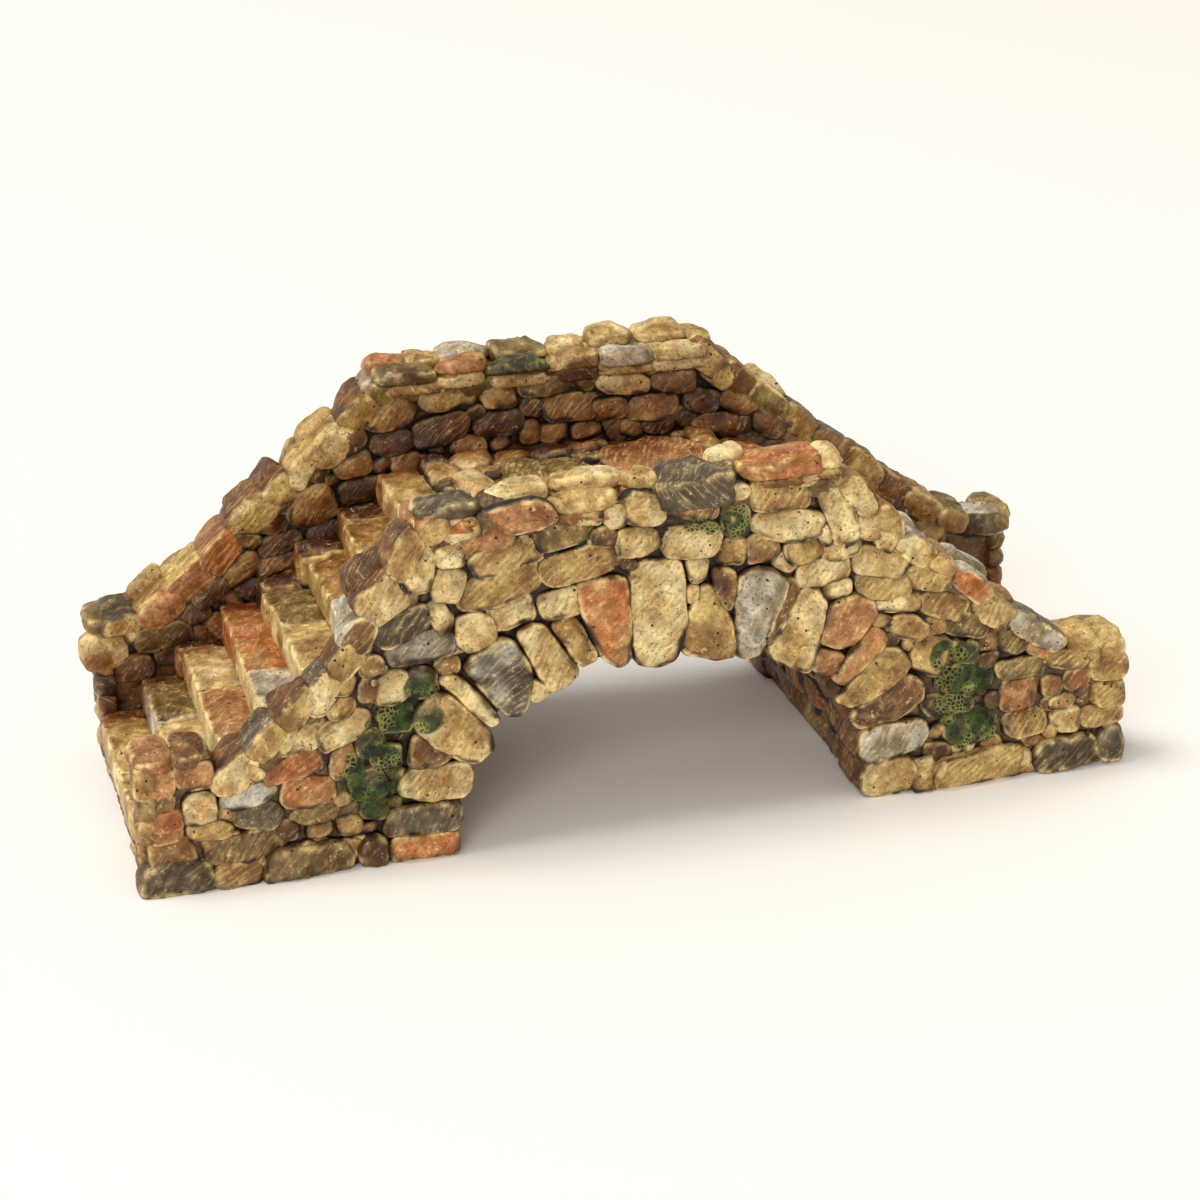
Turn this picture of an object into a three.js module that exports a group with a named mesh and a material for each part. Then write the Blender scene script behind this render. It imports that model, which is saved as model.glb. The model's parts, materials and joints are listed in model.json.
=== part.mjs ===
// Miniature stone footbridge for an aquarium floor, in millimetres, +Z up.
// The origin is at the middle of the base. X runs along the walkway, and the front wall faces -Y.
// Two rubble walls with arch rings stand either side of a vaulted core that carries the stairs.
import * as THREE from "three";

// Plan of the whole bridge
const LENGTH = 150; // between the outer faces of the end posts
const WIDTH = 54.8; // over both walls
const WALL = 9; // thickness of each wall
const INNER_Y = WIDTH / 2 - WALL; // inner face of each wall
const OUTER_Y = WIDTH / 2;
const END_X = LENGTH / 2;

// Archway: superellipses about one centre, drawn in the X-Z plane
const ARCH_X = 2;
const INTRADOS = { halfSpan: 31, rise: 27, fullness: 2.5 };
const EXTRADOS = { halfSpan: 41, rise: 41, fullness: 2.3 };
const JOINT = 0.4; // open joint between ring stones
const RING_GAP = 0.3; // between the ring and the wall that it carries
const ARC_STEPS = 40; // straight pieces in a whole arc
const STONE_ARC_STEPS = 4; // straight pieces in one ring stone's curved sides

// Joints of the front ring in degrees about the arch centre, from the left foot to the right foot.
const FRONT_RING_JOINTS = [180, 165.4, 154.9, 139.2, 126.4, 116.6, 107.9, 97.5, 84.3, 71, 60.5, 49.5, 39, 27.9, 17.9,
  9.3, 0];
const REAR_RING_STONES = 7;
const RING_PROUD = 0.8; // ring stones stand out from the wall face by this much

// Stairs and deck
const TREADS = 8; // on each flight, the last one being the landing slab
const GOING = 6.45; // depth of one tread
const RISER = 4.85; // height of one tread
const FIRST_TREAD_Z = 9.9;
const LANDING_X = END_X - TREADS * GOING; // where the deck meets the landing slabs
const DECK_Z = 45.5;
const FLAG = 3; // thickness of the deck flags
const FLAG_JOINT = 0.5;

// Walls: the footing, the end posts and the coping
const FOOTING_Z = 4.6;
const FOOTING_PROUD = 1.4;
const FOOTING_END = 1; // a footing projects past the end post by this much
const POST = 10.4; // length of an end post
const FRONT_POST_Z = 21;
const REAR_POST_Z = 23;
const COPING_DROP = 4; // height of the coping, measured vertically
const COPING_PROUD = 0.6;
const STONE_BEVEL = 0.6;
const ROUGHNESS = 0.62; // of the painted resin

// Top of each wall from the left end to the right end, as [x, z].
const FRONT_TOP = {
  leftSlope: [[POST - END_X, 15], [-50, 25], [-42, 37.5], [-31, 51.5]],
  level: [[-31, 51.5], [-27, 53.2], [26, 53.6], [29, 52]],
  rightSlope: [[29, 52], [38, 42], [57, 26], [END_X - POST, 20.5]],
};
const REAR_TOP = {
  leftSlope: [[POST - END_X, 23.5], [-27, 58.4]],
  level: [[-27, 58.4], [22, 58.4]],
  rightSlope: [[22, 58.4], [END_X - POST, 23.5]],
};

const CREAM = 0xd9c7a2;
const TAN = 0xbb9a6b;
const PINK = 0xc79a7a;
const ORANGE = 0xbf7f4d;
const GREY = 0x8e8a7e;
const DARK_GREY = 0x66625a;
const MORTAR = 0x87724f;
const OLIVE = 0x8b8658;
const FRONT_RING_COLOURS = [GREY, CREAM, CREAM, GREY, CREAM, TAN, ORANGE, CREAM, TAN, GREY, CREAM, PINK, ORANGE, TAN,
  GREY, CREAM];
const REAR_RING_COLOURS = [TAN, CREAM, OLIVE];
const TREAD_COLOURS = [PINK, OLIVE, TAN, ORANGE, GREY, CREAM, ORANGE, GREY];

const bridge = new THREE.Group();

function addPiece(parent, name, geometry, colour) {
  const material = new THREE.MeshStandardMaterial({ color: colour, roughness: ROUGHNESS, metalness: 0 });
  const piece = new THREE.Mesh(geometry, material);
  piece.name = name;
  parent.add(piece);
  return piece;
}

// An outline in the X-Z plane, carried from y = back to y = front, with its edges bevelled at both ends.
function block(outline, front, back, bevel = 0) {
  const shape = new THREE.Shape(outline.map(([x, z]) => new THREE.Vector2(x, z)));
  const geometry = new THREE.ExtrudeGeometry(shape, {
    depth: back - front - 2 * bevel,
    bevelEnabled: bevel > 0,
    bevelThickness: bevel,
    bevelSize: bevel,
    bevelOffset: -bevel,
    bevelSegments: 1,
  });
  geometry.rotateX(Math.PI / 2);
  geometry.translate(0, back - bevel, 0);
  return geometry;
}

function rectangle(left, bottom, right, top) {
  return [[left, bottom], [right, bottom], [right, top], [left, top]];
}

// Point of a superellipse about the arch centre, grown by a margin, at an angle in degrees.
function curvePoint(curve, angle, margin = 0) {
  const turn = THREE.MathUtils.degToRad(angle);
  const across = Math.abs(Math.cos(turn)) / (curve.halfSpan + margin);
  const up = Math.abs(Math.sin(turn)) / (curve.rise + margin);
  const radius = (across ** curve.fullness + up ** curve.fullness) ** (-1 / curve.fullness);
  return [ARCH_X + radius * Math.cos(turn), radius * Math.sin(turn)];
}

function curveArc(curve, start, end, margin, steps = ARC_STEPS) {
  return Array.from({ length: steps + 1 }, (_, i) =>
    curvePoint(curve, start + ((end - start) * i) / steps, margin));
}

// Angle in degrees by which half a joint turns a point of the curve.
function halfJointAngle(curve, angle) {
  const [x, z] = curvePoint(curve, angle);
  return THREE.MathUtils.radToDeg(JOINT / 2 / Math.hypot(x - ARCH_X, z));
}

// One ring stone between two joints, with the arch curve below it and the ring's outer curve above it.
function ringStone(startAngle, endAngle) {
  const side = (curve, start, end) => {
    const inset = Math.sign(end - start) * halfJointAngle(curve, (start + end) / 2);
    return curveArc(curve, start + inset, end - inset, 0, STONE_ARC_STEPS);
  };
  return [...side(INTRADOS, startAngle, endAngle), ...side(EXTRADOS, endAngle, startAngle)];
}

function addRing(parent, side, joints, front, back, colours) {
  for (let i = 0; i + 1 < joints.length; i += 1) {
    const isKeystone = joints[i] > 90 && joints[i + 1] < 90;
    const name = isKeystone ? `${side}_keystone` : `${side}_ring_stone_${String(i + 1).padStart(2, "0")}`;
    const outline = ringStone(joints[i], joints[i + 1]);
    addPiece(parent, name, block(outline, front, back, STONE_BEVEL), colours[i % colours.length]);
  }
}

// The rubble wall between its footings, its end posts, its coping and the arch ring.
function wallOutline(top) {
  const under = [...top.leftSlope, ...top.level.slice(1), ...top.rightSlope.slice(1)]
    .map(([x, z]) => [x, z - COPING_DROP]);
  const footZ = FOOTING_Z;
  const reach = (1 - (footZ / (EXTRADOS.rise + RING_GAP)) ** EXTRADOS.fullness) ** (1 / EXTRADOS.fullness);
  const rightFoot = THREE.MathUtils.radToDeg(Math.atan2(footZ, reach * (EXTRADOS.halfSpan + RING_GAP)));
  const opening = curveArc(EXTRADOS, 180 - rightFoot, rightFoot, RING_GAP);
  return [[POST - END_X, footZ], ...opening, [END_X - POST, footZ], ...under.reverse()];
}

function copingOutline(top) {
  return [...top.map(([x, z]) => [x, z - COPING_DROP]), ...[...top].reverse()];
}

// One wall with its ring, coping, footings and end posts, which all stand proud of it on the outside only.
function addWall(parent, side, top, postZ, joints, colours) {
  const [front, back] = side === "front" ? [-OUTER_Y, -INNER_Y] : [INNER_Y, OUTER_Y];
  const proud = (amount) => (side === "front" ? [front - amount, back] : [front, back + amount]);
  addPiece(parent, `${side}_wall_masonry`, block(wallOutline(top), front, back), TAN);
  addRing(parent, side, joints, ...proud(RING_PROUD), colours);

  const copings = { left_slope: top.leftSlope, level: top.level, right_slope: top.rightSlope };
  for (const [place, line] of Object.entries(copings)) {
    addPiece(parent, `${side}_coping_${place}`, block(copingOutline(line), ...proud(COPING_PROUD)), GREY);
  }

  const ringEdge = EXTRADOS.halfSpan + RING_GAP;
  const footings = {
    left: [-END_X - FOOTING_END, ARCH_X - ringEdge],
    right: [ARCH_X + ringEdge, END_X + FOOTING_END],
  };
  const posts = { left: [-END_X, POST - END_X], right: [END_X - POST, END_X] };
  for (const end of ["left", "right"]) {
    const [footStart, footEnd] = footings[end];
    const footing = block(rectangle(footStart, 0, footEnd, FOOTING_Z), ...proud(FOOTING_PROUD), STONE_BEVEL);
    addPiece(parent, `${side}_${end}_footing`, footing, DARK_GREY);
    const [postStart, postEnd] = posts[end];
    const post = block(rectangle(postStart, FOOTING_Z, postEnd, postZ), front, back, STONE_BEVEL);
    addPiece(parent, `${side}_${end}_end_post`, post, PINK);
  }
}

// Height of tread number i, counted from the foot of a flight.
function treadTop(i) {
  return FIRST_TREAD_Z + RISER * i;
}

// The vaulted core under the stairs and the deck: a stepped outline with the archway taken out of it.
function coreOutline() {
  const leftFlight = [];
  for (let i = 0; i < TREADS; i += 1) {
    const nose = -END_X + GOING * i;
    const seat = treadTop(i) - RISER;
    leftFlight.push([nose, seat], [nose + GOING, seat]);
  }
  leftFlight.push([-LANDING_X, DECK_Z - FLAG]);
  const rightFlight = leftFlight.map(([x, z]) => [-x, z]).reverse();
  const archway = curveArc(INTRADOS, 0, 180, 0);
  return [[-END_X, 0], ...leftFlight, ...rightFlight, [END_X, 0], ...archway];
}

function addStairs(parent) {
  for (let i = 0; i < TREADS; i += 1) {
    const start = -END_X + GOING * i;
    const sides = { left: [start, start + GOING], right: [-start - GOING, -start] };
    for (const [end, [x0, x1]] of Object.entries(sides)) {
      const outline = rectangle(x0, treadTop(i) - RISER, x1, treadTop(i));
      const name = i === TREADS - 1 ? `${end}_landing_slab` : `${end}_tread_${i + 1}`;
      addPiece(parent, name, block(outline, -INNER_Y, INNER_Y, STONE_BEVEL), TREAD_COLOURS[i]);
    }
  }
}

function addDeck(parent) {
  const edges = [-LANDING_X, -LANDING_X / 3, LANDING_X / 3, LANDING_X];
  const names = ["deck_flags_left", "deck_flags_middle", "deck_flags_right"];
  const colours = [CREAM, ORANGE, PINK];
  names.forEach((name, i) => {
    const outline = rectangle(edges[i], DECK_Z - FLAG, edges[i + 1] - FLAG_JOINT, DECK_Z);
    addPiece(parent, name, block(outline, -INNER_Y, INNER_Y, STONE_BEVEL), colours[i]);
  });
}

addPiece(bridge, "vaulted_core", block(coreOutline(), -INNER_Y, INNER_Y), MORTAR);
addStairs(bridge);
addDeck(bridge);
addWall(bridge, "front", FRONT_TOP, FRONT_POST_Z, FRONT_RING_JOINTS, FRONT_RING_COLOURS);
const rearJoints = Array.from({ length: REAR_RING_STONES + 1 }, (_, i) => 180 - (180 * i) / REAR_RING_STONES);
addWall(bridge, "rear", REAR_TOP, REAR_POST_Z, rearJoints, REAR_RING_COLOURS);

export default bridge;
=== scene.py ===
"""The looks of a miniature stone footbridge, a hand-painted resin casting for an aquarium floor.

Lengths are in millimetres until a mesh is made, and the axes are those of the CAD part: X along the walkway,
-Y towards the viewer and Z up. Every stone is a closed solid with a rounded, chipped face, laid on a wall,
a tread, a coping or the vault, and carries painted attributes that the materials read.
"""

import json
import math
from itertools import product

import bpy
import numpy as np
from mathutils import Matrix, Vector, kdtree


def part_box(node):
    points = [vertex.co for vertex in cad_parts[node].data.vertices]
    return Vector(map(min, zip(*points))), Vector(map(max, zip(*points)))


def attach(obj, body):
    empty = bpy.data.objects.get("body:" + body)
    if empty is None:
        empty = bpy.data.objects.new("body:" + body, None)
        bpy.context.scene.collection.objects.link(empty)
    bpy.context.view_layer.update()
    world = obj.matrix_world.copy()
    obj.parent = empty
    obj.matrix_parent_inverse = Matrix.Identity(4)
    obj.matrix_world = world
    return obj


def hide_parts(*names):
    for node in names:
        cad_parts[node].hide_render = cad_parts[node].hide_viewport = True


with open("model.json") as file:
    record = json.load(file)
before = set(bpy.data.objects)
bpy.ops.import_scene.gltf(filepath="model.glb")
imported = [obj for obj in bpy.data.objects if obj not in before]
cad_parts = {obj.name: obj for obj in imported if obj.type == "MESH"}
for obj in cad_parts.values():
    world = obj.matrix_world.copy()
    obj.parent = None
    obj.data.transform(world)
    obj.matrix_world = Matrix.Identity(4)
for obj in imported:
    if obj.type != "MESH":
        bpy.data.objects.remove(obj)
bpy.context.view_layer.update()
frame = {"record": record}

MM = 0.001
GRAIN = 0.37  # spacing of the mesh on a stone that is seen from the front
COARSE_GRAIN = 0.52  # spacing on the other sides
BACK_GRAIN = COARSE_GRAIN * 0.85  # spacing on the rear face


def node_box(node):
    """Lowest and highest corner of a CAD node in millimetres."""
    low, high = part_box(node)
    return np.array(low) / MM, np.array(high) / MM


# ---------------------------------------------------------------- sizes, from the CAD part

WALL_LOW, WALL_HIGH = node_box("front_wall_masonry")
OUTER_Y = -WALL_LOW[1]  # wall faces, either side of the middle
INNER_Y = -WALL_HIGH[1]
WALL_THICKNESS = OUTER_Y - INNER_Y
END_X = node_box("front_right_end_post")[1][0]
POST_X = node_box("front_right_end_post")[0][0]
FRONT_POST_Z = node_box("front_right_end_post")[1][2]
REAR_POST_Z = node_box("rear_right_end_post")[1][2]
DECK_Z = node_box("deck_flags_middle")[1][2]
DECK_X = node_box("deck_flags_right")[1][0]
TREADS = 8

# The archway and the outside of its ring are superellipses about one centre: half span, rise and fullness.
ARCH_X = 2
INTRADOS = (31, 27, 2.5)
EXTRADOS = (41, 41, 2.3)

# Top of each wall, as straight lines between these points.
FRONT_TOP = [(-75, 20.4), (-64.7, 20.4), (-64, 15), (-50, 25.5), (-42, 38), (-31, 51.5), (-27, 52.6),
             (26, 53.2), (29, 52), (38, 42), (57, 26), (64, 20.5), (64.6, 21.5), (75, 21.5)]
REAR_TOP = [(-75, 22.5), (-66, 23), (-27, 57.6), (22, 58.2), (66, 23), (75, 22.5)]
MORTAR_DEPTH = 1.25  # the mortar lies this far behind a wall face


def front_top(x):
    return np.interp(x, *zip(*FRONT_TOP))


def rear_top(x):
    return np.interp(x, *zip(*REAR_TOP))


def arch_height(x, curve, margin):
    """Height of an arch curve above x, and zero outside it."""
    half_span, rise, fullness = curve
    across = np.clip(np.abs(np.asarray(x, float) - ARCH_X) / (half_span + margin), 0, 1)
    return (rise + margin) * (1 - across ** fullness) ** (1 / fullness)


def arch_point(angle, curve, margin=0.0):
    """Point of an arch curve at an angle in degrees about the arch centre."""
    half_span, rise, fullness = curve
    turn = math.radians(angle)
    across = abs(math.cos(turn)) / (half_span + margin)
    up = abs(math.sin(turn)) / (rise + margin)
    radius = (across ** fullness + up ** fullness) ** (-1 / fullness)
    return ARCH_X + radius * math.cos(turn), radius * math.sin(turn)


# ---------------------------------------------------------------- noise and outlines

def smooth(value):
    value = np.clip(value, 0, 1)
    return value * value * (3 - 2 * value)


def noise(points, size, seed):
    """Smooth random values in -1..1 at an array of 3-D points, with features of about one size."""
    cell = np.asarray(points, float) / size + 31.7 + 7.31 * (seed % 97)
    corner = np.floor(cell).astype(np.int64)
    blend = smooth(cell - corner)
    total = np.zeros(cell.shape[:-1])
    for step in product((0, 1), repeat=3):
        at = corner + np.array(step)
        key = (at[..., 0] * 73856093) ^ (at[..., 1] * 19349663) ^ (at[..., 2] * 83492791) ^ (seed * 2654435)
        key = ((key ^ (key >> 13)) & 0xFFFFFFF) * 1274126177
        value = ((key ^ (key >> 16)) & 0xFFFF) / 32767.5 - 1
        weight = np.prod(np.where(step, blend, 1 - blend), axis=-1)
        total += weight * value
    return total


def rough_noise(points, size, seed, octaves=3):
    """Noise with finer noise on top of it."""
    return sum(noise(points, size / 2 ** k, seed + 11 * k) / 2 ** k for k in range(octaves))


def turned(points, degrees):
    """2-D points turned anticlockwise about the origin."""
    turn = math.radians(degrees)
    rotation = np.array([[math.cos(turn), math.sin(turn)], [-math.sin(turn), math.cos(turn)]])
    return points @ rotation


def split_stone(x, z, wide, high, tilt, rng):
    """A split stone's outline: an uneven block with some of its corners knocked off."""
    corners = []
    for across, up in ((-1, -1), (1, -1), (1, 1), (-1, 1)):
        cut_across, cut_up = rng.uniform(0.12, 0.62), rng.uniform(0.2, 0.8)
        if rng.uniform() < 0.72:
            pair = [(across, up * (1 - cut_up)), (across * (1 - cut_across), up)]
            corners += pair if across * up > 0 else pair[::-1]
        else:
            corners.append((across * (1 - 0.25 * cut_across), up * (1 - 0.2 * cut_up)))
    corners = np.array(corners) + rng.uniform(-0.08, 0.08, (len(corners), 2))
    corners *= np.array([wide, high]) / 2
    return turned(rounded(corners, cut=0.15), tilt) + (x, z)


def rounded(corners, cut=0.13):
    """A polygon with its corners cut back again and again until they are round."""
    points = np.array(corners, float)
    for _ in range(3):
        following = np.roll(points, -1, axis=0)
        near = points + cut * (following - points)
        far = following - cut * (following - points)
        points = np.stack([near, far], axis=1).reshape(-1, 2)
        cut = 0.25
    return points


def distances(line):
    """Distance of each point of a line from its start, along the line."""
    return np.concatenate([[0], np.cumsum(np.linalg.norm(np.diff(line, axis=0), axis=1))])


def spaced(ring, step):
    """Points at even distances round a closed ring."""
    line = np.vstack([ring, ring[:1]])
    along = distances(line)
    count = max(8, int(round(along[-1] / step)))
    at = np.linspace(0, along[-1], count, endpoint=False)
    return np.stack([np.interp(at, along, line[:, k]) for k in range(2)], axis=1)


def eased(count):
    """Numbers from 0 to 1 that crowd together at both ends."""
    t = np.linspace(0, 1, count + 1)
    return t - 0.45 * np.sin(2 * math.pi * t) / (2 * math.pi)


def along_line(line, fractions):
    """Points at fractions of the length of an open line."""
    along = distances(line)
    at = fractions * along[-1]
    return np.stack([np.interp(at, along, line[:, k]) for k in range(2)], axis=1)


def outward_of(ring):
    """Unit vectors that point out of an anticlockwise ring, one at each of its points."""
    along = np.roll(ring, -1, axis=0) - np.roll(ring, 1, axis=0)
    outward = np.stack([along[:, 1], -along[:, 0]], axis=1)
    return outward / np.maximum(np.linalg.norm(outward, axis=1, keepdims=True), 1e-6)


def signed_area(points):
    following = np.roll(points, -1, axis=0)
    return 0.5 * np.sum(points[:, 0] * following[:, 1] - following[:, 0] * points[:, 1])


def patch_grid(outline, grain):
    """A grid of points that fills an outline, from its four corner-like places (a Coons patch)."""
    middle = outline.mean(axis=0)
    offset = outline - middle
    _, axes = np.linalg.eigh(offset.T @ offset)
    major = axes[:, 1] * np.sign(axes[np.argmax(np.abs(axes[:, 1])), 1])
    minor = np.array([-major[1], major[0]])
    local = np.stack([offset @ major, offset @ minor], axis=1)
    local /= np.abs(local).max(axis=0)
    picks = [int(np.argmax(local @ np.array(way))) for way in ((-1, -1), (1, -1), (1, 1), (-1, 1))]
    count = len(outline)
    gaps = [(picks[(k + 1) % 4] - picks[k]) % count for k in range(4)]
    if sum(gaps) != count or min(gaps) < 2:
        picks = [k * count // 4 for k in range(4)]
        gaps = [(picks[(k + 1) % 4] - picks[k]) % count for k in range(4)]
    sides = [outline[(picks[k] + np.arange(gaps[k] + 1)) % count] for k in range(4)]
    length = [np.linalg.norm(np.diff(side, axis=0), axis=1).sum() for side in sides]
    across = max(3, int(round((length[0] + length[2]) / 2 / grain)))
    up = max(3, int(round((length[1] + length[3]) / 2 / grain)))
    u, v = eased(across), eased(up)
    bottom = along_line(sides[0], u)
    right = along_line(sides[1], v)
    top = along_line(sides[2][::-1], u)
    left = along_line(sides[3][::-1], v)
    uu, vv = u[:, None, None], v[None, :, None]
    corners = (1 - uu) * (1 - vv) * bottom[0] + uu * (1 - vv) * bottom[-1] + (1 - uu) * vv * top[0] \
        + uu * vv * top[-1]
    across_blend = (1 - uu) * left[None] + uu * right[None]
    return (1 - vv) * bottom[:, None] + vv * top[:, None] + across_blend - corners


def border_indices(across, up):
    """Indices of a grid's border vertices, once round, for a grid of (across + 1) by (up + 1) vertices."""
    index = np.arange((across + 1) * (up + 1)).reshape(across + 1, up + 1)
    return np.concatenate([index[:-1, 0], index[-1, :-1], index[:0:-1, -1], index[0, :0:-1]])


def grid_quads(across, up, start=0, flip=False):
    """The quads of a grid whose vertices are numbered from start, column by column."""
    index = start + np.arange((across + 1) * (up + 1)).reshape(across + 1, up + 1)
    corners = (index[:-1, :-1], index[1:, :-1], index[1:, 1:], index[:-1, 1:])
    quads = np.stack(corners, axis=-1).reshape(-1, 4)
    return quads[:, ::-1] if flip else quads


# ---------------------------------------------------------------- stones

class Face:
    """A plane that stones are laid on: a point, two directions along it, and the way it faces."""

    def __init__(self, origin, across, up):
        self.origin = np.array(origin, float)
        self.across = np.array(across, float)
        self.up = np.array(up, float)
        self.out = np.cross(self.across, self.up)

    def place(self, flat, height):
        """3-D points from points on the plane and their heights above it."""
        height = np.asarray(height, float)[..., None]
        return self.origin + flat[..., :1] * self.across + flat[..., 1:] * self.up + height * self.out


FRONT_FACE = Face((0, -OUTER_Y, 0), (1, 0, 0), (0, 0, 1))
FRONT_INNER_FACE = Face((0, -INNER_Y, 0), (-1, 0, 0), (0, 0, 1))
REAR_FACE = Face((0, OUTER_Y, 0), (-1, 0, 0), (0, 0, 1))
REAR_INNER_FACE = Face((0, INNER_Y, 0), (1, 0, 0), (0, 0, 1))
LEFT_END = Face((-END_X, 0, 0), (0, -1, 0), (0, 0, 1))
RIGHT_END = Face((END_X, 0, 0), (0, 1, 0), (0, 0, 1))


def level_face(z):
    return Face((0, 0, z), (1, 0, 0), (0, 1, 0))


def vault_face(angle, y):
    """The plane that touches the vault at an angle about the arch centre, facing into the archway."""
    x, z = arch_point(angle, INTRADOS)
    before = np.array(arch_point(angle + 0.5, INTRADOS))
    after = np.array(arch_point(angle - 0.5, INTRADOS))
    tangent = (after - before) / np.linalg.norm(after - before)
    return Face((x, y, z), (0, 1, 0), (tangent[0], 0, tangent[1]))


class Piece:
    """Closed solids gathered into one mesh, with the paint and the marks of each vertex."""

    def __init__(self, name):
        self.name = name
        self.points, self.faces, self.outlines = [], [], []
        self.paint, self.marks, self.strokes = [], [], []
        self.count = 0

    def add(self, points, paint, marks, faces, strokes=None):
        self.points.append(points)
        self.paint.append(with_alpha(paint))
        self.marks.append(marks.astype(np.float32))
        self.strokes.append(np.zeros((len(points), 4), np.float32) if strokes is None else strokes)
        self.faces.extend((np.asarray(face) + self.count).tolist() for face in faces)
        self.count += len(points)

    def build(self, material, slot, cad_node):
        mesh = bpy.data.meshes.new(self.name)
        mesh.from_pydata(np.concatenate(self.points) * MM, [], self.faces)
        mesh.polygons.foreach_set("use_smooth", np.ones(len(mesh.polygons), bool))
        for name, values in (("paint", self.paint), ("marks", self.marks), ("strokes", self.strokes)):
            attribute = mesh.attributes.new(name, "FLOAT_COLOR", "POINT")
            attribute.data.foreach_set("color", np.concatenate(values).ravel())
        mesh.update()
        obj = bpy.data.objects.new(self.name, mesh)
        bpy.context.collection.objects.link(obj)
        obj.data.materials.append(material)
        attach(obj, "root")
        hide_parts(cad_node)


def with_alpha(colours):
    return np.concatenate([colours, np.ones((len(colours), 1))], axis=1).astype(np.float32)


def srgb(red, green, blue):
    """Linear colour of an 8-bit screen colour."""
    screen = np.array([red, green, blue]) / 255
    return np.where(screen < 0.04045, screen / 12.92, ((screen + 0.055) / 1.055) ** 2.4)


SHADE_BROWN = srgb(176, 116, 56)  # painted brown shade that darkens the sheltered parts

# Paint of a stone, and the stain that is brushed unevenly over it.
PAINTS = {
    "cream": (srgb(216, 202, 162), srgb(182, 156, 108)),
    "tan": (srgb(194, 172, 120), srgb(158, 126, 78)),
    "ochre": (srgb(174, 142, 84), srgb(142, 104, 54)),
    "olive": (srgb(150, 134, 88), srgb(112, 92, 52)),
    "pink": (srgb(184, 142, 102), srgb(156, 112, 70)),
    "orange": (srgb(182, 124, 76), srgb(184, 148, 102)),
    "brown": (srgb(140, 104, 64), srgb(100, 68, 38)),
    "grey": (srgb(198, 195, 184), srgb(150, 142, 124)),
    "slate": (srgb(168, 165, 156), srgb(98, 92, 82)),
    "dark": (srgb(116, 108, 92), srgb(84, 72, 56)),
    "green": (srgb(84, 96, 46), srgb(52, 58, 30)),
}
MORTAR_PAINT = (srgb(158, 140, 106), srgb(126, 104, 72))

# Patches of moss on the front wall, as x, z, reach across and reach up.
MOSS = [(-41, 13.5, 6.2, 7.4), (-38, 22.8, 5, 3.4), (-33.5, 22.5, 3.2, 2.8), (-34, 27, 3.2, 2.6),
        (49.3, 17, 6.4, 3.8), (50.6, 9.4, 6.4, 4.6), (47.5, 13, 3.6, 4.4), (46.5, 21.5, 3.6, 3.2),
        (12.6, 47.2, 2.8, 3.6), (7.5, 46.8, 3, 1.6)]


def moss_amount(points):
    """How mossy the front wall is at each point, from 0 to 1."""
    amount = np.zeros(len(points))
    for x, z, across, up in MOSS:
        reach = np.hypot((points[:, 0] - x) / across, (points[:, 2] - z) / up)
        amount = np.maximum(amount, smooth(1.6 - 1.25 * reach))
    ragged = 0.75 + 0.5 * noise(points, 1.6, 5)
    return np.where(points[:, 1] < -INNER_Y, amount * ragged, 0)


def grime(points):
    """Extra dark wash around the moss and at the springing of the ring, from 0 to 1."""
    x, y, z = points[:, 0], points[:, 1], points[:, 2]
    amount = np.zeros(len(points))
    for centre_x, centre_z, across, up in ((-34, 26, 9, 14), (47, 15, 6, 11)):
        reach = np.hypot((x - centre_x) / across, (z - centre_z) / up)
        amount = np.maximum(amount, smooth(1.25 - reach))
    return np.where(y < -INNER_Y, amount, 0) * smooth(0.55 + 0.7 * noise(points, 2.4, 15))


def stone_paint(points, colour, seed):
    """Paint of a stone: its base, its stain in patches, and warm brown painted shade in the sheltered parts.
    """
    base, stain = PAINTS[colour]
    share = smooth(0.42 + 0.85 * rough_noise(points, 3.4, seed, 2))[:, None]
    shade = 1 + 0.12 * noise(points, 1.3, seed + 3)[:, None]
    shade_amount = shelter(points)[:, None]
    return (base * (1 - share) + stain * share) * shade * (1 - shade_amount + shade_amount * SHADE_BROWN)


def shelter(points):
    """How deep in brown shade: inside the rear wall, in the vault, on the left abutment, on the walkway."""
    x, y, z = points[:, 0], points[:, 1], points[:, 2]
    inner_wall = smooth((rear_top(x) - z - 2.0) / 6) * smooth((y - 12) / 5) * (y < INNER_Y + 1.5)
    vault = (np.abs(y) < INNER_Y + 1) * (z < arch_height(x, INTRADOS, 2.5))
    abutment = smooth((15 - z) / 10) * smooth((-36 - x) / 8) * (y < -INNER_Y)
    walkway = smooth((y + 4) / 20) * (np.abs(y) < INNER_Y - 0.5) * (1 - vault)
    return np.minimum(0.75 * inner_wall + 0.35 * vault + 0.32 * abutment + 0.34 * walkway, 0.8)


MARK_SPACING = 0.95


def file_marks(flat, height, angle, seed):
    """How far each point is across the slanting file marks and along them, in millimetres."""
    turn = math.radians(angle)
    across = flat[..., 0] * math.sin(turn) - flat[..., 1] * math.cos(turn) + 0.7 * height
    along = flat[..., 0] * math.cos(turn) + flat[..., 1] * math.sin(turn) + 0.7 * height
    bend = noise(np.concatenate([flat, flat[..., :1] * 0], axis=-1), 2.6, seed)
    return across + 0.45 * bend, along


OPEN_SIDES = -30  # no mortar around a stone: a level below every root
CLEAR_OF_MORTAR = -5  # a stone whose mortar is lower than this has less dark wash and painted shade on its edges
LEAN = (0, -0.13)  # slope of a wall stone's face: its lower edge stands out a little
CROWDING = 0.36  # the stones stand a little closer together than they are listed


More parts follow.
